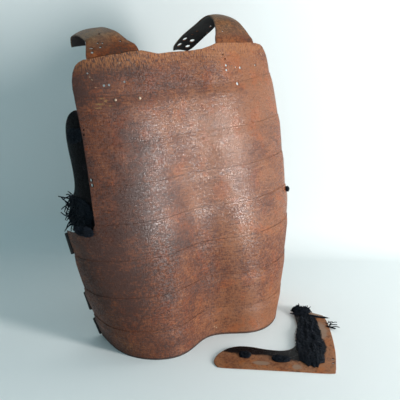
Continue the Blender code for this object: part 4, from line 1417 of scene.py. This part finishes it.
class ARMOUR_OT_make_lacing(bpy.types.Operator):
    """Makes the matted lacing, its knots and its frayed ends"""

    bl_idname = "armour.make_lacing"
    bl_label = "Make lacing"

    def execute(self, context):
        sizes, colours = context.scene.armour_sizes, context.scene.armour_colours
        matted = silk_material(colours, "matted_silk", 0.0042)
        frayed = silk_material(colours, "frayed_silk", 0.0036)
        wall = sizes.plate_wall
        for node, name, place, size, cuts, threads, seed in (
            ("lace_binding_left", "armhole_binding", on_worn_plate(0.021, 0.060, wall),
             (0.058, 0.094, 0.0045), 36, 240, 1),
            ("", "armhole_upper_patch", on_worn_plate(0.136, 0.027, wall),
             (0.020, 0.038, 0.0022), 14, 44, 10),
            ("lace_tie_left", "armhole_tie", on_body(-0.1720, 0.1850, sizes.wall, sizes.seam_gap),
             (0.026, 0.014, 0.0030), 14, 26, 2),
            ("lace_knob_right", "armhole_knob", on_body(0.1660, 0.1860, sizes.wall, sizes.seam_gap),
             (0.007, 0.007, 0.0060), 12, 14, 3),
            ("lace_mat_loose", "loose_plate_mat", on_loose_plate(0.031, 0.085, wall, spread=3.0),
             (0.037, 0.148, 0.0035), 44, 420, 4),
            ("lace_cord_loose", "loose_plate_cross_lace", on_loose_plate(0.026, 0.1515, wall, turn=0.06),
             (0.056, 0.0032, 0.0030), 14, 16, 5),
            ("lace_knot_end_loose", "loose_plate_end_knot", on_loose_plate(0.039, 0.1640, wall),
             (0.028, 0.017, 0.0090), 16, 60, 6),
            ("lace_knot_tip_loose", "loose_plate_tip_knot", on_loose_plate(0.125, 0.0310, wall),
             (0.016, 0.014, 0.0040), 14, 34, 7),
            ("lace_knot_mid_loose", "loose_plate_middle_knot", on_loose_plate(0.074, 0.0260, wall),
             (0.026, 0.015, 0.0040), 14, 34, 8),
            ("lace_end_loose", "loose_plate_lace_end", on_loose_plate(-0.004, 0.1220, wall, turn=0.5),
             (0.016, 0.0028, 0.0024), 10, 8, 9),
        ):
            lump = make_tangle(name, place, size, cuts, seed_of(seed), matted)
            keep(lump, [node] if node else [])
            paths = surface_threads(place, size, threads, seed)
            loops = tube_object(name + "_threads", paths, MAT_THREAD * sizes.thread, frayed)
            keep(loops, [])
        self.make_fringes(sizes, frayed)
        return {"FINISHED"}

    def make_fringes(self, sizes, frayed):
        """The frayed ends at the left armhole and at the loose plate."""
        for name, nodes, surface, frays, thickness in (
            ("armhole_fringe", ["lace_fringe_left"], on_worn_plate, ARMHOLE_FRAYS, ARMHOLE_THREAD),
            ("loose_plate_frayed_ends", [], on_loose_plate, LOOSE_FRAYS, LOOSE_THREAD),
        ):
            strands = []
            for centre, *rest in frays:
                strands += free_strands(surface(*centre, sizes.plate_wall), *rest)
            fringe = tube_object(name, strands, thickness * sizes.thread, frayed)
            keep(fringe, nodes)


# Stage

def pale_material(name, colour, one_sided):
    """A pale matt surface; one_sided lets it be looked through from behind."""
    material, wire, shader = new_material(name)
    wire.feed(shader.inputs, {"Base Color": colour, "Roughness": 0.75})
    if one_sided:
        behind = wire.node("ShaderNodeNewGeometry", {}).outputs["Backfacing"]
        clear = wire.node("ShaderNodeBsdfTransparent", {})
        both = wire.node("ShaderNodeMixShader", {0: behind, 1: shader.outputs[0], 2: clear.outputs[0]})
        output = material.node_tree.nodes["Material Output"]
        wire.feed(output.inputs, {"Surface": both.outputs[0]})
    return material


class ARMOUR_OT_make_stage(bpy.types.Operator):
    """Makes the floor, the backdrop, the soft lights and the camera"""

    bl_idname = "armour.make_stage"
    bl_label = "Make stage"

    wall_distance: FloatProperty(name="Backdrop distance", unit="LENGTH", default=0.265,
                                 description="From the origin to the backdrop's foot")
    cove: FloatProperty(name="Cove", description="Radius of the bend between floor and backdrop",
                        default=0.06, unit="LENGTH")
    key_power: FloatProperty(name="Key light", description="Power of the soft box", default=60.0)
    key_azimuth: FloatProperty(name="Key azimuth", subtype="ANGLE", default=math.radians(28),
                               description="Bearing of the soft box, from behind the wearer")
    key_elevation: FloatProperty(name="Key elevation", description="Height angle of the soft box",
                                 default=math.radians(10.5), subtype="ANGLE")
    key_width: FloatProperty(name="Key width", description="Width of the soft box", default=0.38,
                             unit="LENGTH")
    key_height: FloatProperty(name="Key height", description="Height of the soft box", default=1.0,
                              unit="LENGTH")
    key_distance: FloatProperty(name="Key distance", description="How far away the soft box stands",
                                default=2.2, unit="LENGTH")
    sky: FloatVectorProperty(name="Fill", description="Colour of the even fill light", subtype="COLOR",
                             size=3, default=(0.280, 0.415, 0.455))

    def execute(self, context):
        colours = context.scene.armour_colours
        self.make_floor(colours)
        self.make_lights(context)
        self.make_camera(context)
        return {"FINISHED"}

    def make_floor(self, colours):
        """A wide floor, and a backdrop that bends up out of it behind the object."""
        bm = bmesh.new()
        bmesh.ops.create_grid(bm, x_segments=8, y_segments=8, size=FLOOR_REACH)
        floor = mesh_object("floor", finish_bmesh("floor", bm, outward=False),
                            pale_material("floor_paint", colours.floor, False))
        bm = bmesh.new()
        foot = [bm.verts.new((x, 0.0, BACKDROP_LIFT)) for x in (-BACKDROP_REACH, BACKDROP_REACH)]
        edge = bm.edges.new(foot)
        bmesh.ops.spin(bm, geom=[*foot, edge], cent=(0.0, 0.0, self.cove), axis=(1, 0, 0), steps=16,
                       angle=math.pi / 2)
        top = [item for item in bm.edges if all(abs(v.co.z - self.cove) < 1e-3 for v in item.verts)]
        raised = bmesh.ops.extrude_edge_only(bm, edges=top)["geom"]
        risen = [item for item in raised if isinstance(item, bmesh.types.BMVert)]
        bmesh.ops.translate(bm, verts=risen, vec=(0.0, 0.0, BACKDROP_RISE))
        turn = Matrix.Rotation(CAMERA_AZIMUTH, 4, "Z") @ Matrix.Translation((0.0, self.wall_distance, 0.0))
        bmesh.ops.transform(bm, matrix=turn, verts=bm.verts)
        backdrop = mesh_object("backdrop", finish_bmesh("backdrop", bm, outward=False),
                               pale_material("backdrop_paint", colours.floor, True))
        towards = Vector((math.sin(CAMERA_AZIMUTH), -math.cos(CAMERA_AZIMUTH), 0.0))
        if max(backdrop.data.polygons, key=lambda face: face.area).normal.dot(towards) < 0:
            backdrop.data.flip_normals()

    def make_lights(self, context):
        """A tall soft box to the right of the camera, and an even fill from all round."""
        data = bpy.data.lights.new("soft_box", "AREA")
        data.shape = "RECTANGLE"
        data.size, data.size_y = self.key_width, self.key_height
        data.energy = self.key_power
        data.color = LIGHT_COLOUR
        key = bpy.data.objects.new("soft_box", data)
        context.scene.collection.objects.link(key)
        c = math.cos(self.key_elevation)
        back = Vector((math.sin(self.key_azimuth) * c, -math.cos(self.key_azimuth) * c,
                       math.sin(self.key_elevation)))
        key.location = Vector(LIGHT_TARGET) + back * self.key_distance
        key.rotation_euler = (-back).to_track_quat("-Z", "Y").to_euler()
        world = bpy.data.worlds.new("studio")
        world.use_nodes = True
        world.node_tree.nodes["Background"].inputs["Color"].default_value = (*self.sky, 1.0)
        context.scene.world = world
        context.scene.view_settings.view_transform = "Standard"

    def make_camera(self, context):
        data = bpy.data.cameras.new("camera")
        data.lens = CAMERA_LENS
        data.sensor_width = CAMERA_SENSOR
        camera = bpy.data.objects.new("camera", data)
        context.scene.collection.objects.link(camera)
        turn = (Matrix.Rotation(CAMERA_AZIMUTH, 4, "Z")
                @ Matrix.Rotation(math.pi / 2 - CAMERA_ELEVATION, 4, "X")
                @ Matrix.Rotation(CAMERA_ROLL, 4, "Z"))
        camera.matrix_world = Matrix.Translation(CAMERA_PLACE) @ turn
        context.scene.camera = camera


class ARMOUR_PT_panel(bpy.types.Panel):
    """Lists what the add-on makes"""

    bl_idname = "ARMOUR_PT_panel"
    bl_label = "Cuirass back plate"
    bl_space_type = "VIEW_3D"
    bl_region_type = "UI"
    bl_category = "Armour"

    def draw(self, context):
        for operator in OPERATORS:
            self.layout.operator(operator.bl_idname)
        for group in (context.scene.armour_sizes, context.scene.armour_colours):
            for name in group.bl_rna.properties.keys():
                if name not in ("rna_type", "name"):
                    self.layout.prop(group, name)


OPERATORS = (
    ARMOUR_OT_make_stage,
    ARMOUR_OT_make_lames,
    ARMOUR_OT_make_straps,
    ARMOUR_OT_make_underarm_plates,
    ARMOUR_OT_make_hinges,
    ARMOUR_OT_make_lacing,
)
CLASSES = (ArmourSizes, ArmourColours, *OPERATORS, ARMOUR_PT_panel)


def register():
    for cls in CLASSES:
        bpy.utils.register_class(cls)
    bpy.types.Scene.armour_sizes = PointerProperty(type=ArmourSizes)
    bpy.types.Scene.armour_colours = PointerProperty(type=ArmourColours)


def unregister():
    del bpy.types.Scene.armour_colours
    del bpy.types.Scene.armour_sizes
    for cls in reversed(CLASSES):
        bpy.utils.unregister_class(cls)


def main():
    register()
    bpy.ops.armour.make_stage()
    bpy.ops.armour.make_lames()
    bpy.ops.armour.make_straps()
    bpy.ops.armour.make_underarm_plates()
    bpy.ops.armour.make_hinges()
    bpy.ops.armour.make_lacing()


if __name__ == "__main__":
    main()
